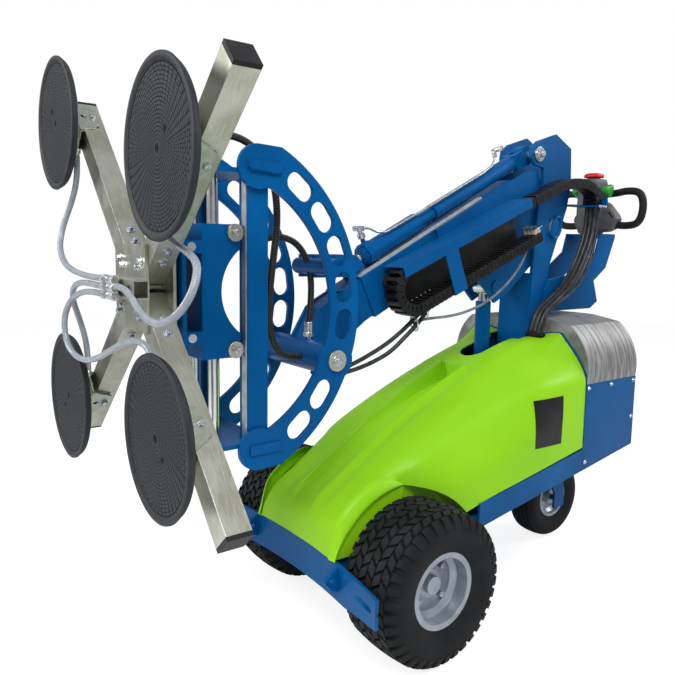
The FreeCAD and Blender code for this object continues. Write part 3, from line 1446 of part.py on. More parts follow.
def carriage():
    """Bent plate with hollowed sides, bosses on the slide rods and blocks for the shift rods."""
    height = "(CarriageHigh - CarriageLow)"
    face = box("-CarriageHalf", "CarriageFrontY", "CarriageLow", "2*CarriageHalf", "CarriageSheet", height)
    deep = "(EarRearY - CarriageFrontY)"
    side = box("CarriageHalf - CarriageSheet", "CarriageFrontY", "CarriageLow", "CarriageSheet", deep,
               height)
    hollow_z = "(%s/2 - EarHeight)" % height
    hollow_y = "(%s/2)" % deep
    hollow_r = "((%s^2 + %s^2)/(2*%s))" % (hollow_z, hollow_y, hollow_y)
    hollow = rod("X", "-2*CarriageHalf", "EarRearY - %s + %s" % (hollow_y, hollow_r),
                 "(CarriageHigh + CarriageLow)/2",
                 hollow_r, "4*CarriageHalf")
    sides = cut(fuse(side, mirrored(side)), hollow)
    boss_parts = []
    for base in ("CarriageLow", "CarriageHigh - BossLength"):
        boss = rod("Z", "RodX", "RodY", base, "BossRadius", "BossLength")
        arm = box("RodX - BossRadius", "CarriageFrontY + CarriageSheet/2", base, "2*BossRadius",
                  "RodY - CarriageFrontY - CarriageSheet/2", "BossLength")
        boss_parts += [boss, arm, mirrored(boss), mirrored(arm)]
    blocks = []
    for level in ("ShiftLowZ", "ShiftHighZ"):
        block = box("CarriageHalf - CarriageSheet*1.5", "ShiftY - ShiftBlock", level + " - ShiftBlock",
                    "CarriageSheet*1.5",
                    "CarriageFrontY - ShiftY + ShiftBlock + CarriageSheet/2", "2*ShiftBlock")
        blocks += [block, mirrored(block)]
    solid = fuse(face, sides, *boss_parts, *blocks)
    bore = rod("Z", "RodX", "RodY", "CarriageLow - Overrun", "RodRadius + RunningFit",
               height + " + 2*Overrun")
    holes = [rod("X", "-2*CarriageHalf", "ShiftY", level, "ShiftRod + RunningFit", "4*CarriageHalf")
             for level in ("ShiftLowZ", "ShiftHighZ")]
    return cut(solid, bore, mirrored(bore), *holes)


node("carriage", carriage())


def carriage_rollers():
    rollers = []
    for level in ("CarriageLow + EarHeight/3", "CarriageHigh - EarHeight/3"):
        spot_y = "RailFrontY - 3*SeatGap - RunStripThick - RollerRadius"
        wheel = rod("X", "CarriageHalf + SeatGap", spot_y, level, "RollerRadius", "RollerWidth")
        bolt = rod("X", "CarriageHalf + SeatGap + RollerWidth/2", spot_y, level, "RollerBolt",
                   "RollerWidth")
        roller = fuse(wheel, bolt)
        rollers += [roller, mirrored(roller)]
    return group(*rollers)


node("carriage_rollers", carriage_rollers())


def shift_rods():
    return group(*[rod("X", "-CarriageHalf", "ShiftY", level, "ShiftRod", "2*CarriageHalf")
                   for level in ("ShiftLowZ", "ShiftHighZ")])


node("shift_rods", shift_rods())


def shift_plate():
    """Plate hung on four sleeves, with the slew ring on its face."""
    face = box("ShiftX - ShiftPlateHalf", "ShiftPlateY", "ShiftPlateLow", "2*ShiftPlateHalf",
               "ShiftPlateSheet",
               "ShiftPlateHigh - ShiftPlateLow")
    pieces = [face, rod("Y", "ShiftX", "ShiftPlateY - SlewRingThick", "HubZ", "SlewRing",
                        "SlewRingThick + ShiftPlateSheet/2")]
    bores = [rod("Y", "ShiftX", "ShiftPlateY - SlewRingThick - Overrun", "HubZ", "SlewShaft + RunningFit",
                 "SlewRingThick + ShiftPlateSheet + 2*Overrun")]
    for level in ("ShiftLowZ", "ShiftHighZ"):
        pieces.append(rod("X", "ShiftX - ShiftSleeveHalf", "ShiftY", level, "ShiftSleeve",
                          "2*ShiftSleeveHalf"))
        pieces.append(box("ShiftX - ShiftSleeveHalf", "ShiftPlateY + ShiftPlateSheet/2",
                          level + " - ShiftSleeve/2",
                          "2*ShiftSleeveHalf", "ShiftY - ShiftPlateY - ShiftPlateSheet/2", "ShiftSleeve"))
        bores.append(rod("X", "-2*CarriageHalf", "ShiftY", level, "ShiftRod + RunningFit",
                         "4*CarriageHalf"))
    return cut(fuse(*pieces), *bores)


node("shift_plate", shift_plate())

# Rotating cross with its four arms

arm_back_y = "(ShiftPlateY - SlewRingThick - SeatGap - HubPlateSheet)"
arm_mid_y = "(%s - ArmSize/2)" % arm_back_y
arm_front_y = "(%s - ArmSize)" % arm_back_y
arm_names = ("near_top", "far_top", "far_bottom", "near_bottom")


def arm_angle(name):
    """Direction of an arm in the cross, from +X towards +Z."""
    return size("CrossAngle") + size("CrossSpread") * (arm_names.index(name)
                                                       % 2) + 180 * (arm_names.index(name) // 2)


def turned_out(shape, name):
    """Swing a shape built along +X at the hub out to its arm."""
    shape.rotate(Vector(0, 0, 0), Vector(0, 1, 0), -arm_angle(name))
    shape.translate(station(size("ShiftX"), 0, size("HubZ")))
    return shape


def cross_hub():
    """Two square plates either side of the arms, a slew shaft behind and a slotted channel in front."""
    wide = "2*HubPlateHalf"
    back = box("ShiftX - HubPlateHalf", arm_back_y, "HubZ - HubPlateHalf", wide, "HubPlateSheet", wide)
    front = box("ShiftX - HubPlateHalf", arm_front_y + " - HubPlateSheet", "HubZ - HubPlateHalf", wide,
                "HubPlateSheet", wide)
    core = rod("Y", "ShiftX", arm_front_y + " - HubPlateSheet/2", "HubZ", "ArmInner*0.55",
               "ArmSize + HubPlateSheet")
    shaft = rod("Y", "ShiftX", arm_back_y + " + HubPlateSheet/2", "HubZ", "SlewShaft",
                "HubPlateSheet/2 + SeatGap + SlewRingThick + ShiftPlateSheet")
    channel_y = arm_front_y + " - HubPlateSheet - ChannelDepth"
    channel = box("ShiftX - ChannelHalf", channel_y, "HubZ - ChannelHeight/2", "2*ChannelHalf",
                  "ChannelDepth + HubPlateSheet/2",
                  "ChannelHeight")
    hollow = box("ShiftX - ChannelHalf - Overrun", channel_y + " + ChannelWall",
                 "HubZ - ChannelHeight/2 + ChannelWall",
                 "2*(ChannelHalf + Overrun)", "ChannelDepth - ChannelWall", "ChannelHeight - 2*ChannelWall")
    return fuse(back, front, core, shaft, cut(channel, hollow))


node("cross_hub", cross_hub())


def square_tube(start, end, wall):
    half = size("ArmSize") / 2
    middle = value_of(arm_mid_y)
    outer = Part.makeBox(end - start, 2 * half, 2 * half, Vector(start, middle - half, -half))
    if not wall:
        return outer
    inner = Part.makeBox(end - start + 2 * wall, 2 * (half - wall), 2 * (half - wall),
                         Vector(start - wall, middle - half + wall, wall - half))
    return outer.cut(inner)


arms = [turned_out(square_tube(size("ArmInner"), size("ArmOuter"), size("ArmWall")),
                   name) for name in arm_names]
node("cross_arms", feature(Part.makeCompound(arms)))

caps = []
for arm_name in arm_names:
    cap_start = size("ArmOuter") + size("SeatGap") / 3
    caps.append(turned_out(square_tube(cap_start, cap_start + size("CapThick"), 0), arm_name))
node("arm_caps", feature(Part.makeCompound(caps)))

# Distance of each disc along its arm, as a share of the arm's outer end.
disc_shares = {"near_top": 0.655, "far_top": 0.9, "far_bottom": 0.752, "near_bottom": 0.625}


def disc_reach(name):
    return disc_shares[name] * size("ArmOuter")


def saddle(name):
    """Folded bracket round an arm: a bridge in front for the guide bolts and a tapered cheek each side."""
    half = size("SaddleHalf")
    thick = size("SaddleSheet")
    arm_half = size("ArmSize") / 2 + size("SeatGap")
    front = size("SaddleFrontY")
    rear = value_of(arm_front_y) + size("SaddleReach")
    reach = disc_reach(name)
    bridge = Part.makeBox(2 * half, thick, 2 * (arm_half + thick),
                          Vector(reach - half, front, -arm_half - thick))
    ear = size("SaddleEarShare") * half
    outline = [Vector(reach - half, front, 0), Vector(reach + half, front, 0), Vector(reach + ear, rear, 0),
               Vector(reach - ear, rear, 0)]
    solid = bridge
    for level in (arm_half, -arm_half - thick):
        cheek = Part.Face(Part.makePolygon(outline + [outline[0]])).extrude(Vector(0, 0, thick))
        cheek.translate(Vector(0, 0, level))
        solid = solid.fuse(cheek)
    for offset in (-size("GuideOffset"), size("GuideOffset")):
        hole = Part.makeCylinder(size("GuideRadius") + size("SeatGap"), thick * 3,
                                 Vector(reach + offset, front - thick, 0),
                                 Vector(0, 1, 0))
        solid = solid.cut(hole)
    bolt_y = (front + rear) / 2
    hole = Part.makeCylinder(size("GuideRadius"), 4 * arm_half, Vector(reach, bolt_y, -2 * arm_half),
                             Vector(0, 0, 1))
    return turned_out(solid.cut(hole).removeSplitter(), name)


node("cup_brackets", feature(Part.makeCompound([saddle(name) for name in arm_names])))


def port_spot(name):
    """Middle of a disc's hose elbow, on the hub side of its centre."""
    angle = math.radians(arm_angle(name))
    reach = disc_reach(name) - size("PortOffset")
    plate_rear = size("DiscFaceY") + size("PadThick") + size("BackThick")
    return station(size("ShiftX") + reach * math.cos(angle), plate_rear + size("PortHalf"),
                   size("HubZ") + reach * math.sin(angle))


def vacuum_disc(name):
    """Rubber pad with a soft lip, a steel back, two guide bolts and the hose elbow."""
    radius = size("DiscRadius")
    face_y = size("DiscFaceY")
    pad_back = size("PadThick")
    lip = size("PadLip")
    reach = disc_reach(name)
    profile = [Vector(0, lip / 2, 0), Vector(radius - 2 * lip, lip / 2, 0), Vector(radius - lip, 0, 0),
               Vector(radius, 0, 0),
               Vector(radius, lip / 2, 0), Vector(radius - lip, pad_back, 0), Vector(0, pad_back, 0)]
    pad = Part.Face(Part.makePolygon(profile + [profile[0]])).revolve(Vector(0, 0, 0), Vector(0, 1, 0), 360)
    steel = Part.makeCylinder(size("BackRadius"), size("BackThick"), Vector(0, pad_back, 0),
                              Vector(0, 1, 0))
    tail = size("SaddleFrontY") + size("SaddleSheet") + size("GuideTail") - face_y
    solids = steel
    for offset in (-size("GuideOffset"), size("GuideOffset")):
        solids = solids.fuse(Part.makeCylinder(size("GuideRadius"), tail - pad_back,
                                               Vector(offset, pad_back, 0), Vector(0, 1, 0)))
    pieces = []
    for shape in (pad, solids):
        shape.translate(Vector(reach, face_y, 0))
        pieces.append(turned_out(shape, name))
    spot = port_spot(name)
    half = size("PortHalf")
    elbow = Part.makeBox(2 * half, 2 * half, 2 * half, spot - Vector(half, half, half))
    pieces[1] = pieces[1].fuse(elbow)
    return feature(Part.makeCompound(pieces))


for arm_name in arm_names:
    node("vacuum_disc_" + arm_name, vacuum_disc(arm_name))


def coil(name, offset):
    """One guide spring: a wire wound on half-turn arcs between bracket and disc."""
    start = size("DiscFaceY") + size("PadThick") + size("BackThick") + size("SpringWire") + size("SeatGap")
    end = size("SaddleFrontY") - size("SpringWire") - size("SeatGap")
    steps = int(size("SpringTurns")) * 4
    radius = size("SpringRadius")
    spots = []
    for index in range(2 * steps + 1):
        angle = math.pi * index / 4
        spots.append(Vector(radius * math.cos(angle), start + (end - start) * index / (2 * steps),
                            radius * math.sin(angle)))
    edges = [Part.Arc(spots[i], spots[i + 1], spots[i + 2]).toShape() for i in range(0, 2 * steps, 2)]
    wire = Part.Wire(edges)
    ring = Part.Wire(Part.Circle(spots[0], edges[0].tangentAt(edges[0].FirstParameter),
                                 size("SpringWire")).toShape())
    solid = wire.makePipeShell([ring], True, False)
    gap = (end - start) / size("SpringTurns") - 2 * size("SpringWire")
    solid.translate(Vector(disc_reach(name) + offset, 0, 0))
    return turned_out(solid, name), gap


springs = []
for arm_name in arm_names:
    for side_offset in (-size("GuideOffset"), size("GuideOffset")):
        spring, spring_gap = coil(arm_name, side_offset)
        springs.append(spring)
print("spring least gap", round(spring_gap, 2))
node("cup_springs", feature(Part.makeCompound(springs)))


def manifold():
    """Block on the channel's face with a barb for each hose."""
    front = value_of(arm_front_y + " - HubPlateSheet - ChannelDepth - SeatGap - ManifoldDepth")
    half = size("ManifoldHalf")
    tall = size("ManifoldHeight")
    block = Part.makeBox(2 * half, size("ManifoldDepth"), tall,
                         station(size("ShiftX") - half, front, size("HubZ") - tall / 2))
    for name in arm_names:
        barb, way = barb_spot(name)
        block = block.fuse(Part.makeCylinder(size("BarbRadius"), size("BarbLength") + half / 4,
                                             barb - way * half / 4, way))
    return feature(block)


barb_level_shares = {"far_top": 0.34, "far_bottom": 0.0, "near_bottom": -0.34, "near_top": 0.1}


def barb_spot(name):
    """Root and direction of a hose barb on the block's end."""
    side = 1 if name == "near_top" else -1
    y = value_of(arm_front_y + " - HubPlateSheet - ChannelDepth - SeatGap - ManifoldDepth/2")
    z = size("HubZ") + barb_level_shares[name] * size("ManifoldHeight")
    return station(size("ShiftX") + side * size("ManifoldHalf"), y, z), Vector(side, 0, 0)


node("vacuum_manifold", manifold())

# Clear hoses: each route leaves its barb, swings out in front and ends in its disc's elbow.
hose_routes = {
    "near_top": [(185, -801, 1085), (244, -810, 1072), (305, -819, 1056), (370, -826, 1042),
                 (433, -827, 1038),
                 (480, -820, 1052), (504, -808, 1074), (513, -793, 1104), (505, -779, 1135),
                 (482, -768, 1159),
                 (428, -762, 1179), (355, -762, 1197), (305, -765, 1228)],
    "far_top": [(-103, -800, 1107), (-159, -806, 1111), (-214, -811, 1118), (-266, -815, 1132),
                (-310, -814, 1154),
                (-340, -810, 1181), (-357, -802, 1210), (-362, -793, 1241), (-356, -782, 1276),
                (-339, -772, 1315),
                (-319, -766, 1357)],
    "far_bottom": [(-103, -799, 1089), (-159, -803, 1089), (-209, -805, 1081), (-250, -802, 1064),
                   (-276, -797, 1042),
                   (-289, -790, 1019), (-292, -781, 992), (-286, -772, 957), (-271, -766, 915)],
    "near_bottom": [(-111, -800, 1068), (-173, -807, 1060), (-226, -814, 1038), (-260, -820, 1006),
                    (-271, -823, 972),
                    (-264, -823, 936), (-240, -821, 906), (-193, -815, 886), (-134, -806, 883),
                    (-72, -797, 896),
                    (-10, -789, 920), (55, -781, 946), (124, -775, 968), (193, -769, 969),
                    (236, -767, 946)],
}
# Straight run at each hose end, as a share of the hose radius.
hose_end_share = 4.25


def vacuum_hose(name):
    root, way = barb_spot(name)
    first = root + way * (size("SeatGap") * 2)
    port = port_spot(name)
    rise = 1 if name.endswith("bottom") else -1
    last = port + Vector(0, 0, rise * (size("PortHalf") + size("SeatGap")))
    before_last = last + Vector(0, 0, rise * hose_end_share * size("HoseRadius"))
    points = [first, first + way * hose_end_share * size("HoseRadius")]
    points += [station(*spot) for spot in hose_routes[name]]
    points += [before_last, last]
    return feature(tube_along(points, size("HoseRadius"), size("HoseRadius") - size("HoseWall")))


for arm_name in arm_names:
    node("vacuum_hose_" + arm_name, vacuum_hose(arm_name))

# Tiller

tiller_shares = [(-0.42, 0.0), (0.4, 0.0), (0.5, 0.3), (0.5, 0.86), (0.36, 1.0), (-0.4, 1.0),
                 (-0.5, 0.86), (-0.5, 0.2)]


def tiller_head():
    """Moulded housing with a shaft across it for the speed levers."""
    outline = shared(tiller_shares, "TillerY", "TillerDepth", "TillerLow", "TillerHigh - TillerLow")
    body = plate(outline, "-TillerHalf", "2*TillerHalf")
    wide = "(LeverX + LeverThick + Overrun)"
    hole = rod("X", "-" + wide, "TillerY", "LeverZ", "LeverShaft + RunningFit", "2*" + wide)
    stop_well = rod("Z", 0, "TillerY", "TillerHigh - StemLength - ButtonTravel - SeatGap",
                    "StemRadius + RunningFit",
                    "StemLength + ButtonTravel + Overrun")
    rear = "(TillerY + TillerDepth/2)"
    horn_well = rod("Y", 0, rear + " - StemLength - ButtonTravel - SeatGap", "HornZ",
                    "StemRadius + RunningFit",
                    "StemLength + ButtonTravel + Overrun")
    return cut(body, hole, stop_well, horn_well)


node("tiller_head", tiller_head())


def speed_levers():
    shaft = rod("X", "-LeverX - LeverThick", "TillerY", "LeverZ", "LeverShaft", "2*(LeverX + LeverThick)")
    knob = rod("X", "LeverX", "TillerY", "LeverZ", "LeverRadius", "LeverThick")
    wing = box("LeverX", "TillerY - LeverRadius*1.5", "LeverZ - LeverShaft", "LeverThick",
               "LeverRadius*1.5", "2*LeverShaft")
    return fuse(shaft, knob, wing, mirrored(knob), mirrored(wing))


node("speed_levers", speed_levers())


def stop_button():
    """Red mushroom bar on top of the head, standing off by its travel."""
    low = "TillerHigh + ButtonTravel + SeatGap"
    cap = box("-ButtonHalf", "TillerY - ButtonHalf", low, "2*ButtonHalf", "2*ButtonHalf", "ButtonHigh")
    rounded = doc.addObject("Part::Fillet", "Rounded")
    rounded.Base = cap
    doc.recompute()
    rounded.Edges = [(i + 1, size("ButtonHigh") / 3,
                      size("ButtonHigh") / 3) for i in range(len(cap.Shape.Edges))
                     if cap.Shape.Edges[i].CenterOfMass.z > cap.Shape.CenterOfMass.z - size("SeatGap")]
    stem = rod("Z", 0, "TillerY", "TillerHigh - StemLength", "StemRadius",
               "StemLength + ButtonTravel + SeatGap + ButtonHigh/2")
    return fuse(rounded, stem)


def horn_button():
    rear = "(TillerY + TillerDepth/2)"
    cap = rod("Y", 0, rear + " + ButtonTravel + SeatGap", "HornZ", "HornRadius", "HornHigh")
    stem = rod("Y", 0, rear + " - StemLength", "HornZ", "StemRadius",
               "StemLength + ButtonTravel + SeatGap + HornHigh/2")
    return fuse(cap, stem)


node("stop_button", stop_button())
node("horn_button", horn_button())


# Loop corners: out from the head's side and up from the loop's foot, as shares of its reach and height.
loop_shares = [(0.0, 0.93), (0.22, 0.93), (0.56, 1.0), (0.92, 0.93), (1.0, 0.5), (0.9, 0.06), (0.54, 0.0),
               (0.22, 0.05), (0.0, 0.05)]


def tiller_loop():
    """Two closed hand loops, out from the head's sides and back below."""
    side = size("TillerHalf") + size("SeatGap")
    reach = size("LoopReach") - side
    low = size("LoopLowZ")
    height = size("LoopTopZ") - low
    behind = size("TillerY") + size("LeverRadius") + size("LoopTube") * 1.2
    solids = []
    for way in (1, -1):
        points = [station(way * (side + out * reach), behind, low + up * height) for out, up in loop_shares]
        solids.append(tube_along(points, size("LoopTube")))
    return feature(Part.makeCompound(solids))


node("tiller_loops", tiller_loop())

bracket_shares = [(0.0, 0.0), (0.655, 0.0), (0.76, 0.09), (0.69, 0.37), (0.86, 0.54), (0.98, 0.95),
                  (0.98, 1.0), (0.75, 1.0),
                  (0.7, 0.75), (0.42, 0.47), (0.05, 0.4), (0.0, 0.3)]


def tiller_bracket():
    """Two plates on the mast's sides and a cross tube under the tiller head."""
    outline = shared(bracket_shares, "ColumnRear - 3*WebSheet",
                     "TillerY + TillerDepth/2 - ColumnRear + 3*WebSheet", "SlabTop + 2*PinHead",
                     "TillerLow - SlabTop - 2*PinHead - SeatGap")
    left = plate(outline, "MastInner + MastSheet + SeatGap", "BracketSheet")
    wide = "(MastInner + MastSheet + SeatGap + BracketSheet)"
    top = box("-" + wide, "TillerY - TillerDepth/4", "TillerLow - SeatGap - BracketTube", "2*" + wide,
              "TillerDepth/2", "BracketTube")
    return fuse(left, mirrored(left), top)


node("tiller_bracket", tiller_bracket())


# Black hoses: stations of the bundle behind the mast, and of the wrapped hose in the tilt frame.
drop_route = [(1068, 1306), (1052, 1236), (1016, 1160), (966, 1088), (912, 1040), (858, 1008), (800, 976),
              (764, 934)]
frame_route = [(60, -312, 877), (61, -346, 914), (62, -362, 962), (60, -364, 1026), (62, -358, 1098),
               (58, -346, 1170),
               (54, -334, 1242), (50, -332, 1314), (46, -344, 1380), (42, -376, 1438), (38, -426, 1474),
               (35, -484, 1483),
               (34, -532, 1460), (34, -554, 1416)]


def drop_hoses():
    """Bundle of black hoses from the cable shelf down to the hood."""
    solids = []
    pitch = 2 * size("DropHose") + size("SeatGap")
    for number in range(3):
        cheek = size("MastInner") + size("MastSheet") + size("BracketSheet")
        across = cheek + size("DropHose") * 1.6 + number * pitch
        start = station(across, drop_route[0][0], size("CableShelfZ") - size("SeatGap"))
        rest_y = drop_route[-1][0] - size("DropHose") * 1.2
        ridge = hood_ridge(rest_y + size("DropHose"))
        points = [start] + [station(across, y, z) for y, z in drop_route]
        points += [station(across, rest_y, ridge + size("DropHose") * 0.25)]
        solids.append(tube_along(points, size("DropHose")))
    return feature(Part.makeCompound(solids))


def frame_hose():
    """Wrapped hose from the boom nose up through the tilt frame and over its top bar."""
    nose = station(frame_route[0][0], value_of(head_pin_y) - size("NoseTube") - 2 * size("SeatGap"),
                   value_of(head_pin_z))
    end = station(frame_route[-1][0], frame_route[-1][1] - size("FrameHose") / 5,
                  size("RailTop") + 3 * size("SeatGap"))
    points = [nose] + [station(*spot) for spot in frame_route] + [end]
    return feature(tube_along(points, size("FrameHose")))


node("drop_hoses", drop_hoses())
node("frame_hose", frame_hose())

doc.recompute()


def check_and_write():
    faults = ["%s: %s" % (item.Name, item.State) for item in doc.Objects
              if "Invalid" in item.State or "Error" in item.State]
    for label, item in nodes.items():
        shape = item.Shape
        if shape.isNull() or not shape.isValid() or not shape.Solids:
            faults.append("%s has no valid solid" % label)
    if faults:
        raise RuntimeError("\n".join(faults))
    os.makedirs("parts", exist_ok=True)
    for label, item in nodes.items():
        item.Shape.exportStep("parts/%s.step" % label)
    print(len(nodes), "nodes written")


check_and_write()
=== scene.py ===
import math

import bmesh
import bpy
import numpy as np
from mathutils import Matrix, Vector


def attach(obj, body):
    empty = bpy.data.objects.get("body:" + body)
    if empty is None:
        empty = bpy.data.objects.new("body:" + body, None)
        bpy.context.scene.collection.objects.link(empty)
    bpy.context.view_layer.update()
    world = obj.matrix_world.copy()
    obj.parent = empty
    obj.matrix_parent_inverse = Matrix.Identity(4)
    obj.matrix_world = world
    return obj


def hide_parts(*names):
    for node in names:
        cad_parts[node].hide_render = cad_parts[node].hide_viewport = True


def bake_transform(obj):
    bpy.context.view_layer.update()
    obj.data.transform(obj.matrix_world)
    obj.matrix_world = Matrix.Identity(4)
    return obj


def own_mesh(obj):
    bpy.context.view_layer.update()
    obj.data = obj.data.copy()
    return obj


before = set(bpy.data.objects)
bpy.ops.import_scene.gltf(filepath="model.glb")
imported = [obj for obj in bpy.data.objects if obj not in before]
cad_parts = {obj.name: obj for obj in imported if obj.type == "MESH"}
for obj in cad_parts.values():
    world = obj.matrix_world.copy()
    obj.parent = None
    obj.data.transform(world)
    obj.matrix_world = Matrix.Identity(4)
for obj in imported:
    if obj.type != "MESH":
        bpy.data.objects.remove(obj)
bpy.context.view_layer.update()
scene = bpy.context.scene
scene.view_settings.view_transform = "Standard"

# Studio: a pale floor that keeps the machine's shadow, a white surround, and broad soft lamps
# high on the machine's left and in front, as in a daylit workshop.


class Wire:
    """One socket in a material's nodes, with arithmetic on values."""

    def __init__(self, tree, socket=None):
        self.tree = tree
        self.socket = socket

    def node(self, kind, settings=None, outlet=0, **inlets):
        made = self.tree.nodes.new(kind)
        for key, value in (settings or {}).items():
            setattr(made, key, value)
        for key, value in inlets.items():
            inlet = made.inputs[int(key[1:]) if key[1:].isdigit() else key.replace("_", " ")]
            if isinstance(value, Wire):
                self.tree.links.new(value.socket, inlet)
            else:
                inlet.default_value = value
        return Wire(self.tree, made.outputs[outlet])

    def math(self, operation, *others):
        values = {"i%d" % (n + 1): v for n, v in enumerate(others)}
        return self.node("ShaderNodeMath", {"operation": operation}, i0=self, **values)

    def __add__(self, other):
        return self.math("ADD", other)

    __radd__ = __add__

    def __mul__(self, other):
        return self.math("MULTIPLY", other)

    __rmul__ = __mul__

    def __sub__(self, other):
        return self.math("SUBTRACT", other)

    def __rsub__(self, other):
        return self.node("ShaderNodeMath", {"operation": "SUBTRACT"}, i0=other, i1=self)

    def mix(self, first, second):
        """Blend two colours by this value."""
        return self.node("ShaderNodeMix", {"data_type": "RGBA"}, outlet=2, i0=self, i6=first, i7=second)

    def step(self, low, high):
        """0 below low, 1 above high, smooth between."""
        return self.node("ShaderNodeMapRange", {"interpolation_type": "SMOOTHSTEP"}, Value=self, From_Min=low,
                         From_Max=high)


def finish(name, **constants):
    """A new material: its node writer and its shader, with the constants on the shader's own sockets."""
    material = bpy.data.materials.new(name)
    material.use_nodes = True
    shader = material.node_tree.nodes["Principled BSDF"]
    for key, value in constants.items():
        shader.inputs[key.replace("_", " ")].default_value = value
    return material, Wire(material.node_tree), shader


floor_mesh = bpy.data.meshes.new("studio_floor")
floor_mesh.from_pydata([(-9, -9, 0), (9, -9, 0), (9, 9, 0), (-9, 9, 0)], [], [(0, 1, 2, 3)])
floor = bpy.data.objects.new("studio_floor", floor_mesh)
scene.collection.objects.link(floor)
floor_finish, w, shader = finish("studio_floor", Base_Color=(0.9, 0.9, 0.9, 1), Roughness=0.9)
glow = w.node("ShaderNodeEmission", Color=(1, 1, 1, 1), Strength=1.36)
path = w.tree.nodes.new("ShaderNodeLightPath")
seen = Wire(w.tree, path.outputs["Is Camera Ray"])
seen = seen.math("MAXIMUM", Wire(w.tree, path.outputs["Is Transmission Ray"]))
blended = w.node("ShaderNodeMixShader", i0=seen * 0.62, i1=Wire(w.tree, shader.outputs[0]), i2=glow)
w.tree.links.new(blended.socket, w.tree.nodes["Material Output"].inputs[0])
floor_mesh.materials.append(floor_finish)

world = bpy.data.worlds.new("studio")
scene.world = world
world.use_nodes = True
w = Wire(world.node_tree)
path = world.node_tree.nodes.new("ShaderNodeLightPath")
camera_ray = Wire(world.node_tree, path.outputs["Is Camera Ray"])
through_ray = camera_ray.math("MAXIMUM", Wire(world.node_tree, path.outputs["Is Transmission Ray"]))
through_ray = through_ray.math("MAXIMUM", Wire(world.node_tree, path.outputs["Is Glossy Ray"]) * 0.25)
height = w.node("ShaderNodeSeparateXYZ", outlet=2, Vector=w.node("ShaderNodeTexCoord", outlet=0))
sky = height.step(-0.15, 0.75).mix((0.50, 0.52, 0.56, 1), (0.92, 0.94, 0.98, 1))
shown = through_ray.mix(sky, (1, 1, 1, 1))
background = world.node_tree.nodes["Background"]
world.node_tree.links.new(shown.socket, background.inputs["Color"])
world.node_tree.links.new((through_ray * 0.58 + 0.42).socket, background.inputs["Strength"])

for name, place, aim, size, power in (
    ("high_left_lamp", (2.6, -2.4, 4.2), (0, -0.2, 0.6), 2.0, 170),
    ("front_lamp", (-2.2, -4.2, 2.8), (0, -0.5, 0.9), 1.8, 95),
    ("rear_lamp", (1.8, 3.4, 3.4), (0, 0.4, 0.8), 2.0, 80),
):
    lamp = bpy.data.lights.new(name, "AREA")
    lamp.size = size
    lamp.energy = power
    lamp_object = bpy.data.objects.new(name, lamp)
    lamp_object.location = place
    lamp_object.rotation_euler = (Vector(aim) - Vector(place)).to_track_quat("-Z", "Y").to_euler()
    scene.collection.objects.link(lamp_object)

# Camera: the photograph's own point of view, off the machine's front left corner and a little above
# the hood, with the lens and shift of the photograph's frame.
picture_width, focal_pixels = 675, 671.63
shift_right, shift_up = -10.57, -11.37
camera_place = (1.681, -1.569, 1.197)
camera = bpy.data.cameras.new("camera")
camera.sensor_width = 36
camera.lens = focal_pixels / picture_width * 36
camera.shift_x = shift_right / picture_width
camera.shift_y = shift_up / picture_width
azimuth, pitch, roll = (math.radians(v) for v in (-52.817, 6.855, 0.943))
ahead = Vector((math.sin(azimuth) * math.cos(pitch), math.cos(azimuth) * math.cos(pitch), -math.sin(pitch)))
right = Vector((math.cos(azimuth), -math.sin(azimuth), 0))
upward = right.cross(ahead)
turned_right = right * math.cos(roll) + upward * math.sin(roll)
turned_up = upward * math.cos(roll) - right * math.sin(roll)
camera_object = bpy.data.objects.new("camera", camera)
turn = Matrix((turned_right, turned_up, -ahead)).transposed().to_4x4()
camera_object.matrix_world = Matrix.Translation(camera_place) @ turn
scene.collection.objects.link(camera_object)
scene.camera = camera_object

# Blue steelwork: plate and box section, welded, shot-blasted and sprayed with a deep blue gloss enamel
# that has a faint orange peel and paler edges, partly rubbed wear and partly a painted highlight.


def feed(wire, shader, **links):
    """Link values that change over the surface to the shader."""
    for key, value in links.items():
        wire.tree.links.new(value.socket, shader.inputs[key.replace("_", " ")])


def cloud(wire, scale, detail, **inlets):
    """Noise on the piece's own coordinates."""
    spot = wire.node("ShaderNodeTexCoord", outlet=3)
    return wire.node("ShaderNodeTexNoise", Scale=scale, Detail=detail, Vector=spot, **inlets)


def rubbed(wire, radius):
    """A normal that rounds sharp edges a little."""
    return wire.node("ShaderNodeBevel", {"samples": 4}, Radius=radius)


def grained(wire, strength, distance, height, **inlets):
    """A fine bump."""
    return wire.node("ShaderNodeBump", Strength=strength, Distance=distance, Height=height, **inlets)


def dress(material, *names):
    """Give CAD nodes a finish in place of their packed colour."""
    for name in names:
        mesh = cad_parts[name].data
        mesh.materials.clear()
        mesh.materials.append(material)


def enamel(name, deep, bright, edge):
    """A sprayed gloss paint, paler at its edges: partly rubbed wear, partly a painted highlight."""
    material, w, shader = finish(name, Specular_IOR_Level=0.16, Specular_Tint=(0.05, 0.42, 1.0, 1.0),
                                 Coat_Roughness=0.06)
    broad = cloud(w, 3.2, 4.0)
    fine = cloud(w, 420.0, 2.0)
    scuff = cloud(w, 38.0, 6.0, Roughness=0.7)
    geometry = w.tree.nodes.new("ShaderNodeNewGeometry")
    flat = Wire(w.tree, geometry.outputs["Normal"])
    rounded = rubbed(w, 0.0025)
    bend = w.node("ShaderNodeVectorMath", {"operation": "DOT_PRODUCT"}, outlet=1, i0=flat, i1=rounded)
    # Edge mask broken up by scuffs: rubbed wear plus a painted highlight along the edges.
    worn_and_lit_edge = (1 - bend).step(0.02, 0.22) * scuff.step(0.45, 0.62)
    colour = (worn_and_lit_edge * 0.45).mix(broad.step(0.3, 0.7).mix(deep, bright), edge)
    bump = grained(w, 0.05, 0.0004, fine, Normal=rounded)
    feed(w, shader, Base_Color=colour, Roughness=0.26 + scuff * 0.16, Coat_Weight=0.07 - worn_and_lit_edge * 0.06, Normal=bump)
    return material
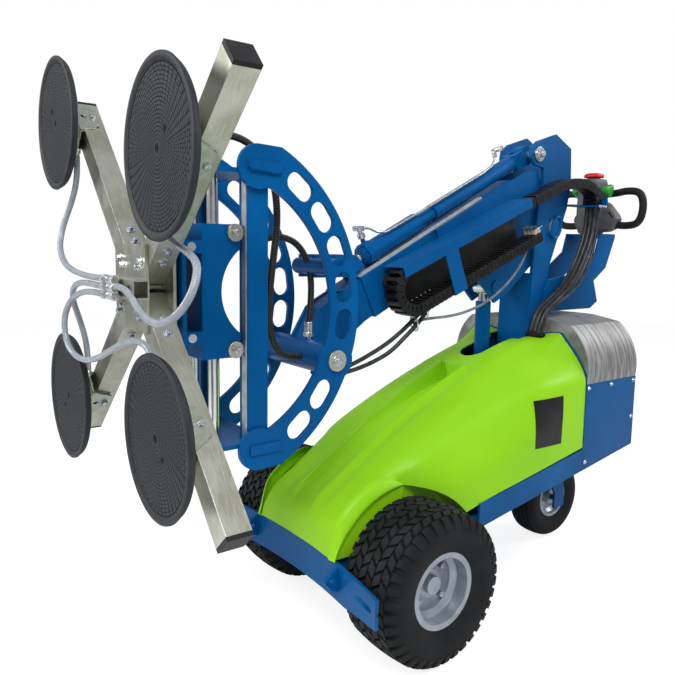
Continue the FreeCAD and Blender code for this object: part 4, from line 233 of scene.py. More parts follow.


# The third colour is the pale edge: rubbed wear and a painted edge highlight.
blue_enamel = enamel("blue_enamel", (0.0004, 0.066, 0.215, 1), (0.0008, 0.092, 0.285, 1), (0.010, 0.16, 0.40, 1))
dress(blue_enamel, "chassis_frame", "front_bumper", "rear_box", "mast", "tiller_bracket", "castor_fork", "outer_boom",
      "chain_tray", "inner_boom", "link_eye", "link_barrel", "link_tube", "lift_barrel", "arc_plate_left",
      "arc_plate_right", "tilt_frame", "carriage", "shift_plate")

# Hood: one rotomoulded polyethylene cover in satin lime green. Two crests run down its back with a valley
# between them, which ends in a step, and a raised band follows each front tyre.
AXLE = 0.255
AXLE_HEIGHT = 228
ARCH_RADIUS = 250


def station(x, y, z):
    """A point from millimetres, its y measured from the front axle."""
    return Vector((x / 1000, y / 1000 - AXLE, z / 1000))


class Form:
    """Points and faces gathered into one mesh."""

    def __init__(self):
        self.spots = []
        self.faces = []
        self.picks = []

    def add(self, spots, faces, turn=Matrix(), pick=0):
        start = len(self.spots)
        self.spots += [turn @ Vector(spot) for spot in spots]
        self.faces += [[start + i for i in face] for face in faces]
        self.picks += [pick] * len(faces)

    def grid(self, rows, around=False, pick=0):
        """A skin over rows of equally many points."""
        across = len(rows[0])
        faces = []
        for i in range(len(rows) - 1):
            for j in range(across if around else across - 1):
                k = (j + 1) % across
                faces.append((i * across + j, i * across + k, (i + 1) * across + k, (i + 1) * across + j))
        self.add([spot for row in rows for spot in row], faces, pick=pick)

    def spin(self, profile, count, turn, pick=0):
        """Turn a profile of (radius, height) in metres about the local Z axis; its ends are closed."""
        spots = [(r * math.cos(2 * math.pi * n / count), r * math.sin(2 * math.pi * n / count), z)
                 for r, z in profile for n in range(count)]
        faces = [(i * count + n, i * count + (n + 1) % count, (i + 1) * count + (n + 1) % count, (i + 1) * count + n)
                 for i in range(len(profile) - 1) for n in range(count)]
        faces += [tuple(reversed(range(count))), tuple(range((len(profile) - 1) * count, len(profile) * count))]
        self.add(spots, faces, turn, pick)

    def prism(self, outline, low, high, turn=Matrix(), pick=0):
        """An outline in local X and Y carried from low to high along local Z."""
        count = len(outline)
        spots = [(x, y, z) for z in (low, high) for x, y in outline]
        faces = [(n, (n + 1) % count, count + (n + 1) % count, count + n) for n in range(count)]
        faces += [tuple(reversed(range(count))), tuple(range(count, 2 * count))]
        self.add(spots, faces, turn, pick)

    def settle(self, name, body, *materials, sharp=35, outward=True):
        """Make the object, shade it smooth up to an angle and let it ride on a body."""
        mesh = bpy.data.meshes.new(name)
        mesh.from_pydata(self.spots, [], self.faces)
        if outward:
            sorted_mesh = bmesh.new()
            sorted_mesh.from_mesh(mesh)
            bmesh.ops.recalc_face_normals(sorted_mesh, faces=sorted_mesh.faces)
            sorted_mesh.to_mesh(mesh)
            sorted_mesh.free()
        for material in materials:
            mesh.materials.append(material)
        mesh.polygons.foreach_set("material_index", self.picks)
        mesh.shade_smooth()
        mesh.set_sharp_from_angle(angle=math.radians(sharp))
        piece = bpy.data.objects.new(name, mesh)
        scene.collection.objects.link(piece)
        if body:
            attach(piece, body)
        return piece


def facing(at, axis):
    """A turn that puts local Z along an axis, at a point."""
    return Matrix.Translation(at) @ Vector(axis).to_track_quat("Z", "Y").to_matrix().to_4x4()


def eased(knots, values, at):
    """Values on a smooth line through the knots that doesn't overshoot them."""
    knots, values, at = (np.asarray(v, float) for v in (knots, values, at))
    gap = np.diff(knots)
    shape = (-1,) + (1,) * (values.ndim - 1)
    rise = np.diff(values, axis=0) / gap.reshape(shape)
    slope = np.zeros_like(values)
    slope[0], slope[-1] = rise[0], rise[-1]
    for i in range(1, len(knots) - 1):
        a, b = 2 * gap[i] + gap[i - 1], gap[i] + 2 * gap[i - 1]
        same = rise[i - 1] * rise[i] > 0
        safe = np.where(same, rise[i - 1] * rise[i], 1)
        slope[i] = np.where(same, (a + b) * safe / np.where(same, a * rise[i] + b * rise[i - 1], 1), 0)
    spot = np.clip(np.searchsorted(knots, at, side="right") - 1, 0, len(knots) - 2)
    t = ((at - knots[spot]) / gap[spot]).reshape(shape)
    wide = gap[spot].reshape(shape)
    return ((1 + 2 * t) * (1 - t) ** 2 * values[spot] + t * (1 - t) ** 2 * wide * slope[spot]
            + t * t * (3 - 2 * t) * values[spot + 1] + t * t * (t - 1) * wide * slope[spot + 1])


hood_sections = {
    -233: [(0, 304), (55, 304), (110, 304), (150, 303), (175, 303), (190, 302), (198, 301), (202, 300), (203, 299.6)],
    -226: [(0, 364), (55, 366), (110, 362), (150, 355), (176, 346), (191, 337), (200, 326), (205, 313), (205, 299.6)],
    -203: [(0, 414), (55, 417), (110, 413), (150, 406), (178, 394), (194, 380), (203, 360), (207, 330), (207, 299.6)],
    -165: [(0, 449), (55, 452), (110, 448), (150, 440), (180, 426), (196, 410), (205, 386), (209, 340), (209, 299.6)],
    -120: [(0, 478), (55, 481), (110, 477), (150, 469), (180, 455), (198, 437), (207, 410), (211, 355), (211, 299.6)],
    -77: [(0, 505), (55, 508), (110, 504), (150, 497), (180, 484), (200, 466), (209, 440), (212, 375), (212, 299.6)],
    0: [(0, 554), (55, 557), (110, 552), (150, 546), (180, 536), (204, 518), (213, 494), (214, 400), (214, 299.6)],
    60: [(0, 594), (55, 597), (110, 592), (150, 586), (180, 576), (212, 558), (236, 534), (256, 450), (262, 329)],
    154: [(0, 646), (55, 649), (110, 643), (150, 637), (180, 627), (215, 606), (240, 586), (290, 470), (307, 365)],
    308: [(0, 721), (55, 724), (110, 717), (150, 708), (180, 696), (220, 668), (247, 648), (304, 510), (317, 406.6)],
    450: [(0, 784), (55, 786), (110, 782), (150, 767), (180, 750), (225, 722), (261, 695), (312, 550), (319, 430.5)],
    600: [(0, 836), (55, 838), (110, 834), (150, 816), (185, 799), (240, 768), (300, 724), (317, 600), (320, 455.5)],
    700: [(0, 857), (55, 859), (110, 861), (150, 849), (185, 831), (240, 795), (313, 727), (320, 605), (320, 472)],
    786: [(0, 862), (55, 866), (110, 876), (150, 883), (196, 889), (226, 864), (319, 729), (321, 610), (321, 487)],
}
valley_depth = [(-233, 0), (-228, 0), (-184, 13), (-107, 22), (0, 18), (126, 18), (246, 32), (330, 40), (439, 55),
                (446, 0), (786, 0)]
hood_places = list(hood_sections)
hood_table = np.array([hood_sections[y] for y in hood_places], float)
across = np.concatenate([np.linspace(0, 0.66, 7), np.linspace(0.7, 1.12, 18), np.linspace(1.2, 8, 52)])


def hood_line(y):
    """Right half of the hood's outer section at a station: x and z in millimetres, from the middle out."""
    knots = eased(hood_places, hood_table, [y])[0]
    line = eased(np.arange(9), knots, across)
    x, z = line[:, 0], line[:, 1]
    depth = eased(*zip(*valley_depth), [y])[0]
    inside = np.clip((54 - x) / 11, 0, 1)
    inside = inside * inside * (3 - 2 * inside)
    crest = min(depth / 14, 1)
    z = z - depth * inside * (1 - 0.14 * np.clip(1 - (x / 38) ** 2, 0, 1))
    z = z + crest * (1.8 * np.exp(-((x - 57) / 5) ** 2) - 6 * np.exp(-((x - 88) / 19) ** 2))
    return x, z


def hood_row(y):
    """One row of the hood's skin, from its left sill over the top to its right sill."""
    x, z = hood_line(y)
    front = np.clip((-110 - y) / 120, 0, 1)
    bow = -14 * (x / 282) ** 2 * front
    right_half = [station(a, y + c, b) for a, b, c in zip(x, z, bow)]
    left_half = [station(-a, y + c, b) for a, b, c in zip(x[1:], z[1:], bow[1:])]
    return left_half[::-1] + right_half


lime_hood, w, shader = finish("lime_hood", Coat_Roughness=0.25, Coat_Weight=0.06, Specular_IOR_Level=0.2,
                              Subsurface_Weight=0.04, Subsurface_Radius=(0.01, 0.02, 0.004))
broad = cloud(w, 2.4, 3.0)
grain = cloud(w, 520.0, 2.0)
dust = cloud(w, 26.0, 5.0)
colour = broad.step(0.3, 0.7).mix((0.245, 0.585, 0.006, 1), (0.285, 0.64, 0.009, 1))
colour = (dust.step(0.55, 0.8) * 0.08).mix(colour, (0.38, 0.68, 0.05, 1))
feed(w, shader, Base_Color=colour, Roughness=0.38 + grain * 0.14, Normal=grained(w, 0.08, 0.0005, grain))

hood_ys = np.concatenate([np.linspace(-233, -204, 20), np.linspace(-200, 436, 112), np.linspace(438, 448, 11),
                          np.linspace(454, 786, 52)])
skin = Form()
skin.grid([hood_row(y) for y in hood_ys])
hood_skin = skin.settle("hood_skin", None, lime_hood, outward=False)
thick = hood_skin.modifiers.new("thick", "SOLIDIFY")
thick.thickness = 0.005
thick.offset = -1


def carve(piece, tools):
    """Cut tools out of a piece and keep the result as its mesh."""
    for tool in tools:
        cutter = tool.settle("cutter", None)
        cut = piece.modifiers.new("cut", "BOOLEAN")
        cut.operation = "DIFFERENCE"
        cut.solver = "EXACT"
        cut.object = cutter
        cutter.hide_render = True
    bpy.context.view_layer.update()
    mesh = bpy.data.meshes.new_from_object(piece.evaluated_get(bpy.context.evaluated_depsgraph_get()))
    for modifier in list(piece.modifiers):
        if modifier.type == "BOOLEAN":
            bpy.data.objects.remove(modifier.object)
    piece.modifiers.clear()
    piece.data = mesh
    mesh.shade_smooth()
    mesh.set_sharp_from_angle(angle=math.radians(34))


slot_half, slot_front = 0.052, 0.552 - AXLE
mast_half, mast_front = 0.082, 0.70 - AXLE
behind_hood = 0.81 - AXLE
slot = Form()
slot_end = [(slot_half * math.cos(a), slot_front - slot_half * math.sin(a)) for a in np.linspace(0, math.pi, 25)]
slot.prism([(-slot_half, behind_hood), (slot_half, behind_hood)] + slot_end, 0.52, 1.1)
opening = Form()
opening.prism([(-mast_half, mast_front), (mast_half, mast_front), (mast_half, behind_hood),
               (-mast_half, behind_hood)], 0.3, 1.1)
arches = []
for side in (-1, 1):
    arch = Form()
    arch.spin([(ARCH_RADIUS / 1000, 0), (ARCH_RADIUS / 1000, 0.2)], 96,
              facing(station(side * 216, 0, AXLE_HEIGHT), (side, 0, 0)))
    arches.append(arch)
carve(hood_skin, [slot, opening] + arches)
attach(hood_skin, "chassis")
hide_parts("hood")

bands = Form()
for side in (-1, 1):
    rows = []
    for angle in np.radians(np.linspace(17, 104, 60)):
        swell = min(1, max(0, (math.degrees(angle) - 20) / 26)) * min(1, max(0, (104 - math.degrees(angle)) / 34))
        swell = swell * swell * (3 - 2 * swell)
        section = [(196, 258 + 30 * swell), (206, 255 + 29 * swell), (212, 253 + 26 * swell), (216, 251 + 21 * swell),
                   (219 + 3 * swell, 250 + 12 * swell), (219 + 6 * swell, 250 + 4 * swell), (218 + 6 * swell, 248),
                   (214 + 4 * swell, 246.5), (200, 246.5)]
        row = [station(side * x, -r * math.cos(angle), AXLE_HEIGHT + r * math.sin(angle)) for x, r in section]
        rows.append(row[::-side])
    bands.grid(rows)
arch_bands = bands.settle("arch_bands", "chassis", lime_hood, outward=False)

# Wheel wells: the hood's own skin turned in over each front tyre and down to the frame,
# moulded in one with the hood in the same lime green.
flank_start = 40
well_x = 211


def hood_flank(y, z):
    """How far out the hood's side lies at a station and a height."""
    x_line, z_line = hood_line(y)
    return float(np.interp(z, z_line[flank_start:][::-1], x_line[flank_start:][::-1]))


wells = Form()
for side in (-1, 1):
    rows = []
    for angle in np.radians(np.linspace(84, 149, 40)):
        y, z = -ARCH_RADIUS * math.cos(angle), AXLE_HEIGHT + ARCH_RADIUS * math.sin(angle)
        edge = max(214.5, hood_flank(y, z))
        row = [station(side * (well_x + (edge - 1.5 - well_x) * t), y, z) for t in np.linspace(0, 1, 6)]
        rows.append(row[::side])
    wells.grid(rows)
    rows = []
    for angle in np.radians(np.linspace(84, 149, 40)):
        row = [station(side * (well_x + 0.5), -r * math.cos(angle), AXLE_HEIGHT + r * math.sin(angle))
               for r in (ARCH_RADIUS + 1, 200, 150)]
        rows.append(row[::side])
    wells.grid(rows)
well_piece = wells.settle("wheel_wells", "chassis", lime_hood, outward=False)

# Side plates: a bare sheet of glossy black plastic, bent to the hood's flank and glued on it,
# one on each side.
black_plate, w, shader = finish("black_plate", Coat_Weight=0.08, Specular_IOR_Level=0.25)
haze = cloud(w, 18.0, 4.0)
feed(w, shader, Base_Color=haze.step(0.3, 0.7).mix((0.006, 0.006, 0.007, 1), (0.014, 0.014, 0.015, 1)),
     Roughness=0.3 + haze * 0.2)
plate_top = np.array([(527, 686), (664, 692)])
plate_foot = np.array([(519, 527), (657, 525)])
plates = Form()
for side in (-1, 1):
    for lift in (0.4, 1.6):
        rows = []
        for v in np.linspace(0, 1, 13):
            row = []
            for u in np.linspace(0, 1, 13):
                upper = plate_top[0] + (plate_top[1] - plate_top[0]) * u
                lower = plate_foot[0] + (plate_foot[1] - plate_foot[0]) * u
                y, z = upper * (1 - v) + lower * v
                row.append(station(side * (hood_flank(y, z) + lift), y, z))
            rows.append(row[::-side])
        plates.grid(rows)
plates.settle("hood_plates", "chassis", black_plate)

# Bulkhead: a blue steel plate between the hood's rear edge and the counterweights, cut to the hood's
# outline, a little proud of it, and welded to the frame.
rib = Form()
edge_x, edge_z = hood_line(786)
for side in (-1, 1):
    outline = [(side * 0.086, 0.52)]
    for x, z in zip(edge_x[::3], edge_z[::3]):
        if x > 86:
            outline.append((side * (x + 3 * (x > 200)) / 1000, (z + 4) / 1000))
    outline.append((side * 0.3, 0.487))
    turn = Matrix.Translation(station(0, 793.2, 0)) @ Matrix.Rotation(math.pi / 2, 4, "X")
    rib.prism(outline[::side], 0, 0.0054, turn)
bulkhead = rib.settle("bulkhead_rib", "chassis", blue_enamel)

# Tyres: moulded in black rubber and seated on the rims, turf pattern in front with rows of slanted blocks
# and shoulder lugs, plain ribs on the castor; the block faces are scuffed paler than the grooves.


def rubber(name, dark, pale):
    """Black rubber with dust in its pores."""
    material, w, shader = finish(name, Specular_IOR_Level=0.22)
    grain = cloud(w, 260.0, 3.0)
    dust = cloud(w, 17.0, 6.0)
    feed(w, shader, Base_Color=dust.step(0.35, 0.8).mix((*dark, 1), (*pale, 1)), Roughness=0.55 + dust * 0.3,
         Normal=grained(w, 0.2, 0.0004, grain, Normal=rubbed(w, 0.0015)))
    return material


def carcass(form, half, turn):
    """An open tyre turned from half its section, (x, radius) in millimetres from the bead to the middle."""
    profile = [(r / 1000, x / 1000) for x, r in half] + [(r / 1000, -x / 1000) for x, r in half[-2::-1]]
    rows = [[turn @ Vector((r * math.cos(t), r * math.sin(t), x)) for t in np.linspace(0, 2 * math.pi, 96, False)]
            for r, x in profile]
    form.grid(rows, around=True)


tyre_rubber = rubber("tyre_rubber", (0.005, 0.0055, 0.006), (0.014, 0.015, 0.016))
block_rubber = rubber("block_rubber", (0.009, 0.010, 0.011), (0.026, 0.028, 0.030))
for name, body, axle_x in (("left_front_tyre", "left_wheel", 330), ("right_front_tyre", "right_wheel", -330)):
    tyre = Form()
    turn = facing(station(axle_x, 0, AXLE_HEIGHT), (1, 0, 0))
    half = [(84, 103), (88, 108), (90, 117), (97, 127), (104, 146), (107.5, 166), (106.5, 184), (102, 197), (95, 206),
            (84, 213), (62, 217), (32, 219), (0, 219.6)]
    carcass(tyre, half, turn)
    count = 36
    pitch = 2 * math.pi / count
    tyre_radius, crown_drop, block_depth, block_half = 228, 6.5, 11, 11.6
    lug_section = ((85, 211, 0.34), (98, 199, 0.32), (105, 186, 0.28), (108, 187, 0.24), (103.5, 204, 0.28),
                   (96, 217, 0.3), (86, 222.5, 0.3))
    for row, middle in enumerate((-70, -42, -14, 14, 42, 70)):
        lean = 0.20 if row % 2 else -0.20
        for n in range(count):
            base = pitch * (n + 0.5 * (row % 2))
            block = []
            for share, grow in ((0.0, 1.16), (1.0, 1.0)):
                for u, v in ((-1, -1), (1, -1), (1, 1), (-1, 1)):
                    x = middle + u * block_half * grow
                    angle = base + v * pitch * 0.36 * grow + u * lean * pitch
                    top = tyre_radius - (abs(x) / 92) ** 2 * crown_drop
                    r = top - block_depth * (1 - share)
                    block.append((r / 1000 * math.cos(angle), r / 1000 * math.sin(angle), x / 1000))
            tyre.add(block, [(4, 5, 6, 7)], turn, 1)
            tyre.add(block, [(0, 1, 5, 4), (1, 2, 6, 5), (2, 3, 7, 6), (3, 0, 4, 7)], turn)
    for side in (-1, 1):
        for n in range(count):
            base = pitch * (n + (0.25 if side > 0 else 0.75))
            lug = []
            for v in (-1, 1):
                for x, r, reach in lug_section:
                    angle = base + v * pitch * reach
                    lug.append((r / 1000 * math.cos(angle), r / 1000 * math.sin(angle), side * x / 1000))
            ends = [tuple(range(7)), tuple(range(13, 6, -1))]
            sides = [(k, 7 + k, 7 + (k + 1) % 7, (k + 1) % 7) for k in range(7)]
            tyre.add(lug, [f if side > 0 else f[::-1] for f in ends + sides], turn)
    piece = tyre.settle(name + "_tread", body, tyre_rubber, block_rubber, sharp=30)
    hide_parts(name)

ribbed = Form()
half = [(44, 77), (47, 84), (50, 92), (57, 106), (60, 124), (58.5, 140), (53, 151), (45, 158), (41, 160.5),
        (39.5, 156), (36, 156), (34.5, 162.3), (22, 164.2), (20.5, 159), (17, 159), (15.5, 164.8), (3.6, 165),
        (2.2, 159.6), (0, 159.6)]
carcass(ribbed, half, facing(station(0, 1015, 165), (1, 0, 0)))
piece = ribbed.settle("castor_ribbed_tyre", "castor_wheel", tyre_rubber)
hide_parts("castor_tyre")

# Rims: pressed steel discs in silver lacquer with a fine flake, bolted to the hubs;
# the castor's smaller rim has the same finish.
rim_silver, w, shader = finish("rim_silver", Metallic=0.55, Coat_Weight=0.25, Coat_Roughness=0.2)
flake = cloud(w, 900.0, 1.0)
haze = cloud(w, 20.0, 4.0)
feed(w, shader, Base_Color=haze.step(0.3, 0.7).mix((0.27, 0.31, 0.35, 1), (0.36, 0.40, 0.44, 1)),
     Roughness=0.30 + flake * 0.14, Normal=rubbed(w, 0.003))
dress(rim_silver, "left_front_rim", "right_front_rim", "castor_rim")

# Bright zinc: square tubes, brackets, hub plates, pins and rollers, zinc plated and passivated, with a
# faint yellow cast and long drawing streaks; every pin end carries a washer and a hexagon head.


def drawn_out(wire, stretch, scale, detail, roughness):
    """Noise stretched into streaks."""
    spot = wire.node("ShaderNodeMapping", Vector=wire.node("ShaderNodeTexCoord", outlet=3), Scale=stretch)
    return wire.node("ShaderNodeTexNoise", Scale=scale, Detail=detail, Roughness=roughness, Vector=spot)


zinc, w, shader = finish("zinc_plate", Metallic=1.0)
streak = drawn_out(w, (0.5, 3.0, 0.5), 60.0, 5.0, 0.65)
patch = cloud(w, 9.0, 4.0)
colour = patch.step(0.32, 0.68).mix((0.40, 0.40, 0.31, 1), (0.55, 0.55, 0.47, 1))
colour = (streak.step(0.42, 0.75) * 0.45).mix(colour, (0.68, 0.69, 0.63, 1))
feed(w, shader, Base_Color=colour, Roughness=0.24 + streak * 0.22,
     Normal=grained(w, 0.05, 0.0004, streak, Normal=rubbed(w, 0.003)))
dress(zinc, "cross_hub", "cross_arms", "cup_brackets", "pivot_pins", "head_pin", "carriage_rollers")

bright_bolt, w, shader = finish("bright_bolt", Metallic=1.0)
film = cloud(w, 90.0, 4.0)
feed(w, shader, Base_Color=film.step(0.3, 0.7).mix((0.42, 0.44, 0.47, 1), (0.62, 0.64, 0.67, 1)),
     Roughness=0.16 + film * 0.2, Normal=rubbed(w, 0.0008))


def bolt(form, at, axis, across_flats, washer=True):
    """A hexagon head with a chamfered top on a flat washer."""
    r = across_flats / 1000 / math.sqrt(3)
    turn = facing(at, axis)
    base = 0
    if washer:
        form.spin([(r * 1.75, 0), (r * 1.75, r * 0.2), (r * 1.68, r * 0.26), (r * 0.5, r * 0.26)], 32, turn)
        base = r * 0.26
    form.spin([(r, base), (r, base + r * 0.95), (r * 0.86, base + r * 1.12), (r * 0.3, base + r * 1.12)], 6, turn)


def end_spots(name, side):
    """Centres of the round ends a CAD node shows on its outermost plane to one side."""
    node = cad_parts[name]
    places = np.array([node.matrix_world @ v.co for v in node.data.vertices])
    edge = places[:, 0].max() if side > 0 else places[:, 0].min()
    ends = places[abs(places[:, 0] - edge) < 0.0006]
    found = []
    while len(ends):
        near = ends[np.linalg.norm(ends[:, 1:] - ends[0, 1:], axis=1) < 0.075]
        middle = (near.min(axis=0) + near.max(axis=0)) / 2
        found.append(Vector(middle))
        ends = ends[np.linalg.norm(ends[:, 1:] - ends[0, 1:], axis=1) >= 0.075]
    return found


for name, body, flats in (("carriage_rollers", "carriage_body", 19), ("head_pin", "head_level", 17),
                          ("pivot_pins", "chassis", 22)):
    heads = Form()
    for side in (-1, 1):
        for spot in [s for s in end_spots(name, side) if name != "pivot_pins" or s.y < 0.6]:
            bolt(heads, spot, (side, 0, 0), flats, washer=name != "carriage_rollers")
    heads.settle(name + "_heads", body, bright_bolt, sharp=20)

# Tube caps: black moulded plastic plugs with a fine grain, pressed into the open ends of the arms.
# The same plastic serves other black mouldings further on.
black_plastic, w, shader = finish("black_plastic", Specular_IOR_Level=0.25)
grain = cloud(w, 380.0, 3.0)
haze = cloud(w, 14.0, 4.0)
feed(w, shader, Base_Color=haze.step(0.35, 0.75).mix((0.006, 0.006, 0.007, 1), (0.016, 0.016, 0.017, 1)),
     Roughness=0.36 + haze * 0.22, Normal=grained(w, 0.12, 0.0003, grain, Normal=rubbed(w, 0.002)))
dress(black_plastic, "arm_caps")

# Rods: slide rods, shift rods and the two rams, ground steel with hard chrome,
# held in the frames and cylinders they slide in.
chrome, w, shader = finish("hard_chrome", Metallic=1.0)
film = cloud(w, 30.0, 4.0)
feed(w, shader, Base_Color=film.step(0.35, 0.75).mix((0.78, 0.79, 0.80, 1), (0.66, 0.67, 0.68, 1)),
     Roughness=0.08 + film * 0.14)
dress(chrome, "slide_rods", "shift_rods", "link_rod", "lift_rod")

# Counterweights: flame-cut steel slabs stacked on the rear box, bare and oiled,
# with long mill streaks and brownish stains.
bare_steel, w, shader = finish("bare_steel", Metallic=0.5, Specular_IOR_Level=0.3)
streak = drawn_out(w, (0.3, 3.2, 0.3), 22.0, 7.0, 0.7)
stain = cloud(w, 12.0, 5.0)
colour = streak.step(0.38, 0.62).mix((0.17, 0.17, 0.168, 1), (0.36, 0.36, 0.355, 1))
colour = (stain.step(0.56, 0.74) * 0.5).mix(colour, (0.25, 0.21, 0.16, 1))
feed(w, shader, Base_Color=colour, Roughness=0.38 + streak * 0.22,
     Normal=grained(w, 0.15, 0.0008, streak, Normal=rubbed(w, 0.003)))
dress(bare_steel, "counterweights")

# Drive and power pack: axle, motor, battery case and pump in black lacquer,
# bolted in the frame under the hood.
dark_lacquer, w, shader = finish("dark_lacquer", Coat_Weight=0.05, Specular_IOR_Level=0.25)
dust = cloud(w, 24.0, 5.0)
feed(w, shader, Base_Color=dust.step(0.35, 0.75).mix((0.012, 0.012, 0.013, 1), (0.04, 0.04, 0.04, 1)),
     Roughness=0.4 + dust * 0.25)
dress(dark_lacquer, "power_pack", "drive_axle")

# Strips: drawn aluminium running strips on the tilt frame's uprights, and a grey plastic slide strip
# along the boom, both screwed on.


def plain_finish(name, low, high, metal, rough):
    """A plain metal or moulding between two tones, with a faint grain."""
    material, w, shader = finish(name, Metallic=metal, Specular_IOR_Level=0.28)
    haze = cloud(w, 36.0, 5.0)
    grain = cloud(w, 420.0, 2.0)
    feed(w, shader, Base_Color=haze.step(0.3, 0.7).mix((*low, 1), (*high, 1)), Roughness=haze * 0.2 + (rough - 0.1),
         Normal=grained(w, 0.1, 0.0003, grain, Normal=rubbed(w, 0.002)))
    return material


dress(plain_finish("drawn_aluminium", (0.62, 0.63, 0.64), (0.80, 0.81, 0.82), 1.0, 0.32), "run_strips")
dress(plain_finish("slide_plastic", (0.34, 0.35, 0.36), (0.45, 0.46, 0.47), 0.0, 0.45), "wear_strip")

# Vacuum discs: charcoal rubber pads with a smooth raised lip, a face cut into small bricks by rings and
# spokes, a suction hole and a sensing hole drawn as dark discs of painted shade, on a zinc back plate
# with two guide bolts and a hose elbow.
hub_x, hub_z = 40, 1087
arm_angles = {"near_top": 41.5, "far_top": 134.0, "far_bottom": 221.5, "near_bottom": 314.0}
disc_reach = {"near_top": 442.78, "far_top": 608.4, "far_bottom": 508.35, "near_bottom": 422.5}
port_inset, port_y = 112, -766
guide_offset = 46


def placed(at, x, y, z):
    """A turn that puts the local axes along three directions, at a point."""
    return Matrix.Translation(at) @ Matrix((x, y, z)).transposed().to_4x4()


def arm_ways(name):
    """Directions out along an arm and across it, in the cross's own plane."""
    way = math.radians(arm_angles[name])
    return Vector((math.cos(way), 0, math.sin(way))), Vector((-math.sin(way), 0, math.cos(way)))


def along_arm(name, reach, y):
    """A point over an arm's middle line, at a reach from the hub, in millimetres."""
    way = math.radians(arm_angles[name])
    return hub_x + reach * math.cos(way), y, hub_z + reach * math.sin(way)


pad_rubber = plain_finish("pad_rubber", (0.015, 0.0175, 0.021), (0.025, 0.028, 0.033), 0.0, 0.58)
# The grooves' near-black rubber is a painted shade in the recesses, the same rubber as the face.
groove_shade_rubber = plain_finish("groove_shade_rubber", (0.004, 0.0045, 0.005), (0.008, 0.009, 0.010), 0.0, 0.7)
# Near-black finish for discs and sheets that stand for holes and slots: painted shade inside them.
painted_hole_shade = plain_finish("painted_hole_shade", (0.003, 0.003, 0.003), (0.006, 0.006, 0.006), 0.0, 0.8)
lip_section = ((165, 4.6), (169, 1.6), (173, 0.2), (179, 0), (182.4, 1.4), (183, 5), (181, 8), (175, 17), (172, 19.6),
               (152, 20))
spokes = 46
spoke_shares = (0.0, 0.07, 0.43, 0.5, 0.57, 0.93)
columns = [(n + share) * 2 * math.pi / spokes for n in range(spokes) for share in spoke_shares]
ring_gap = 8.0
rings = [(10 + ring_gap * (n + share), n, share) for n in range(19) for share in (0.0, 0.10, 0.90)] + [(162, 19, 0.0)]
for name in arm_angles:
    middle = station(*along_arm(name, disc_reach[name], -805))
    outward, aside = arm_ways(name)
    turn = placed(middle, outward, (0, 1, 0), aside)
    pad = Form()
    rows = []
    for r, ring, share in rings:
        row = []
        for k, a in enumerate(columns):
            groove = 1.7 if share == 0.0 else 0.0
            lined = abs(math.sin(a)) < 0.55 or ring % 2 == 0
            if k % 6 == (0 if lined else 3) and r > 24:
                groove = 1.7
            row.append((r / 1000 * math.cos(a), (5 + groove) / 1000, r / 1000 * math.sin(a)))
        rows.append(row)
    for r, deep in ((5, 6), (5, 14)):
        rows.insert(0, [(r / 1000 * math.cos(a), deep / 1000, r / 1000 * math.sin(a)) for a in columns])
    for r, deep in lip_section:
        rows.append([(r / 1000 * math.cos(a), deep / 1000, r / 1000 * math.sin(a)) for a in columns])
    pad.grid([[turn @ Vector(p) for p in row] for row in rows], around=True)
    # Faces in or beside a groove take the painted groove shade.
    grooved = [[p[1] > 0.006 and math.hypot(p[0], p[2]) < 0.1625 for p in row] for row in rows]
    pad.picks = []
    for lower, upper in zip(grooved, grooved[1:]):
        marked = [a or b for a, b in zip(lower, upper)]
        pad.picks += [int(a or b) for a, b in zip(marked, marked[1:] + [False])]
    # The suction hole and the sensing hole are dark discs on the face: painted shade.
    hole = Form()
    for x, y in ((0, 0), (0.052, 0.0)):
        hole.spin([(0.0062, 0), (0.0062, 0.0012)], 24, turn @ facing((x, 0.0036 if x else 0.0075, y), (0, 1, 0)))
    face = pad.settle("pad_" + name, "disc_" + name, pad_rubber, groove_shade_rubber, sharp=50)
    hole.settle("pad_holes_" + name, "disc_" + name, painted_hole_shade)
    back = Form()
    back.spin([(0.1, 0), (0.15, 0.0002), (0.15, 0.0055), (0.1475, 0.008), (0.06, 0.008)], 96,
              turn @ facing((0, 0.02, 0), (0, 1, 0)))
    for offset in (-guide_offset / 1000, guide_offset / 1000):
        back.spin([(0.009, 0), (0.009, 0.0035), (0.005, 0.0035), (0.005, 0.0365), (0.0042, 0.0375)], 24,
                  turn @ facing((offset, 0.0262, 0), (0, 1, 0)))
        back.spin([(0.0092, 0), (0.0092, 0.005), (0.0082, 0.0062), (0.004, 0.0062)], 6,
                  turn @ facing((offset, 0.0574, 0), (0, 1, 0)))
    port = station(*along_arm(name, disc_reach[name] - port_inset, port_y))
    rise = 1 if name.endswith("bottom") else -1
    back.spin([(0.0095, 0), (0.0095, 0.012), (0.008, 0.0135), (0.008, 0.02)], 6,
              facing(port + Vector((0, -0.0112, 0)), (0, 1, 0)))
    back.spin([(0.0082, -0.008), (0.0095, -0.006), (0.0095, 0.003), (0.0075, 0.005), (0.0062, 0.0115)], 20,
              facing(port, (0, 0, rise)))
    back.settle("disc_back_" + name, "disc_" + name, zinc)
    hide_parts("vacuum_disc_" + name)

# Guide springs: round spring steel wire, wound on each guide bolt between the disc's back plate
# and its bracket, so that the disc can give way.
spring_wire = plain_finish("spring_wire", (0.42, 0.42, 0.43), (0.62, 0.62, 0.63), 1.0, 0.3)
coil_front, coil_rear, coil_radius = -775.2, -753.8, 0.0095
coil_turns, coil_steps, coil_flat = 4, 20, 8


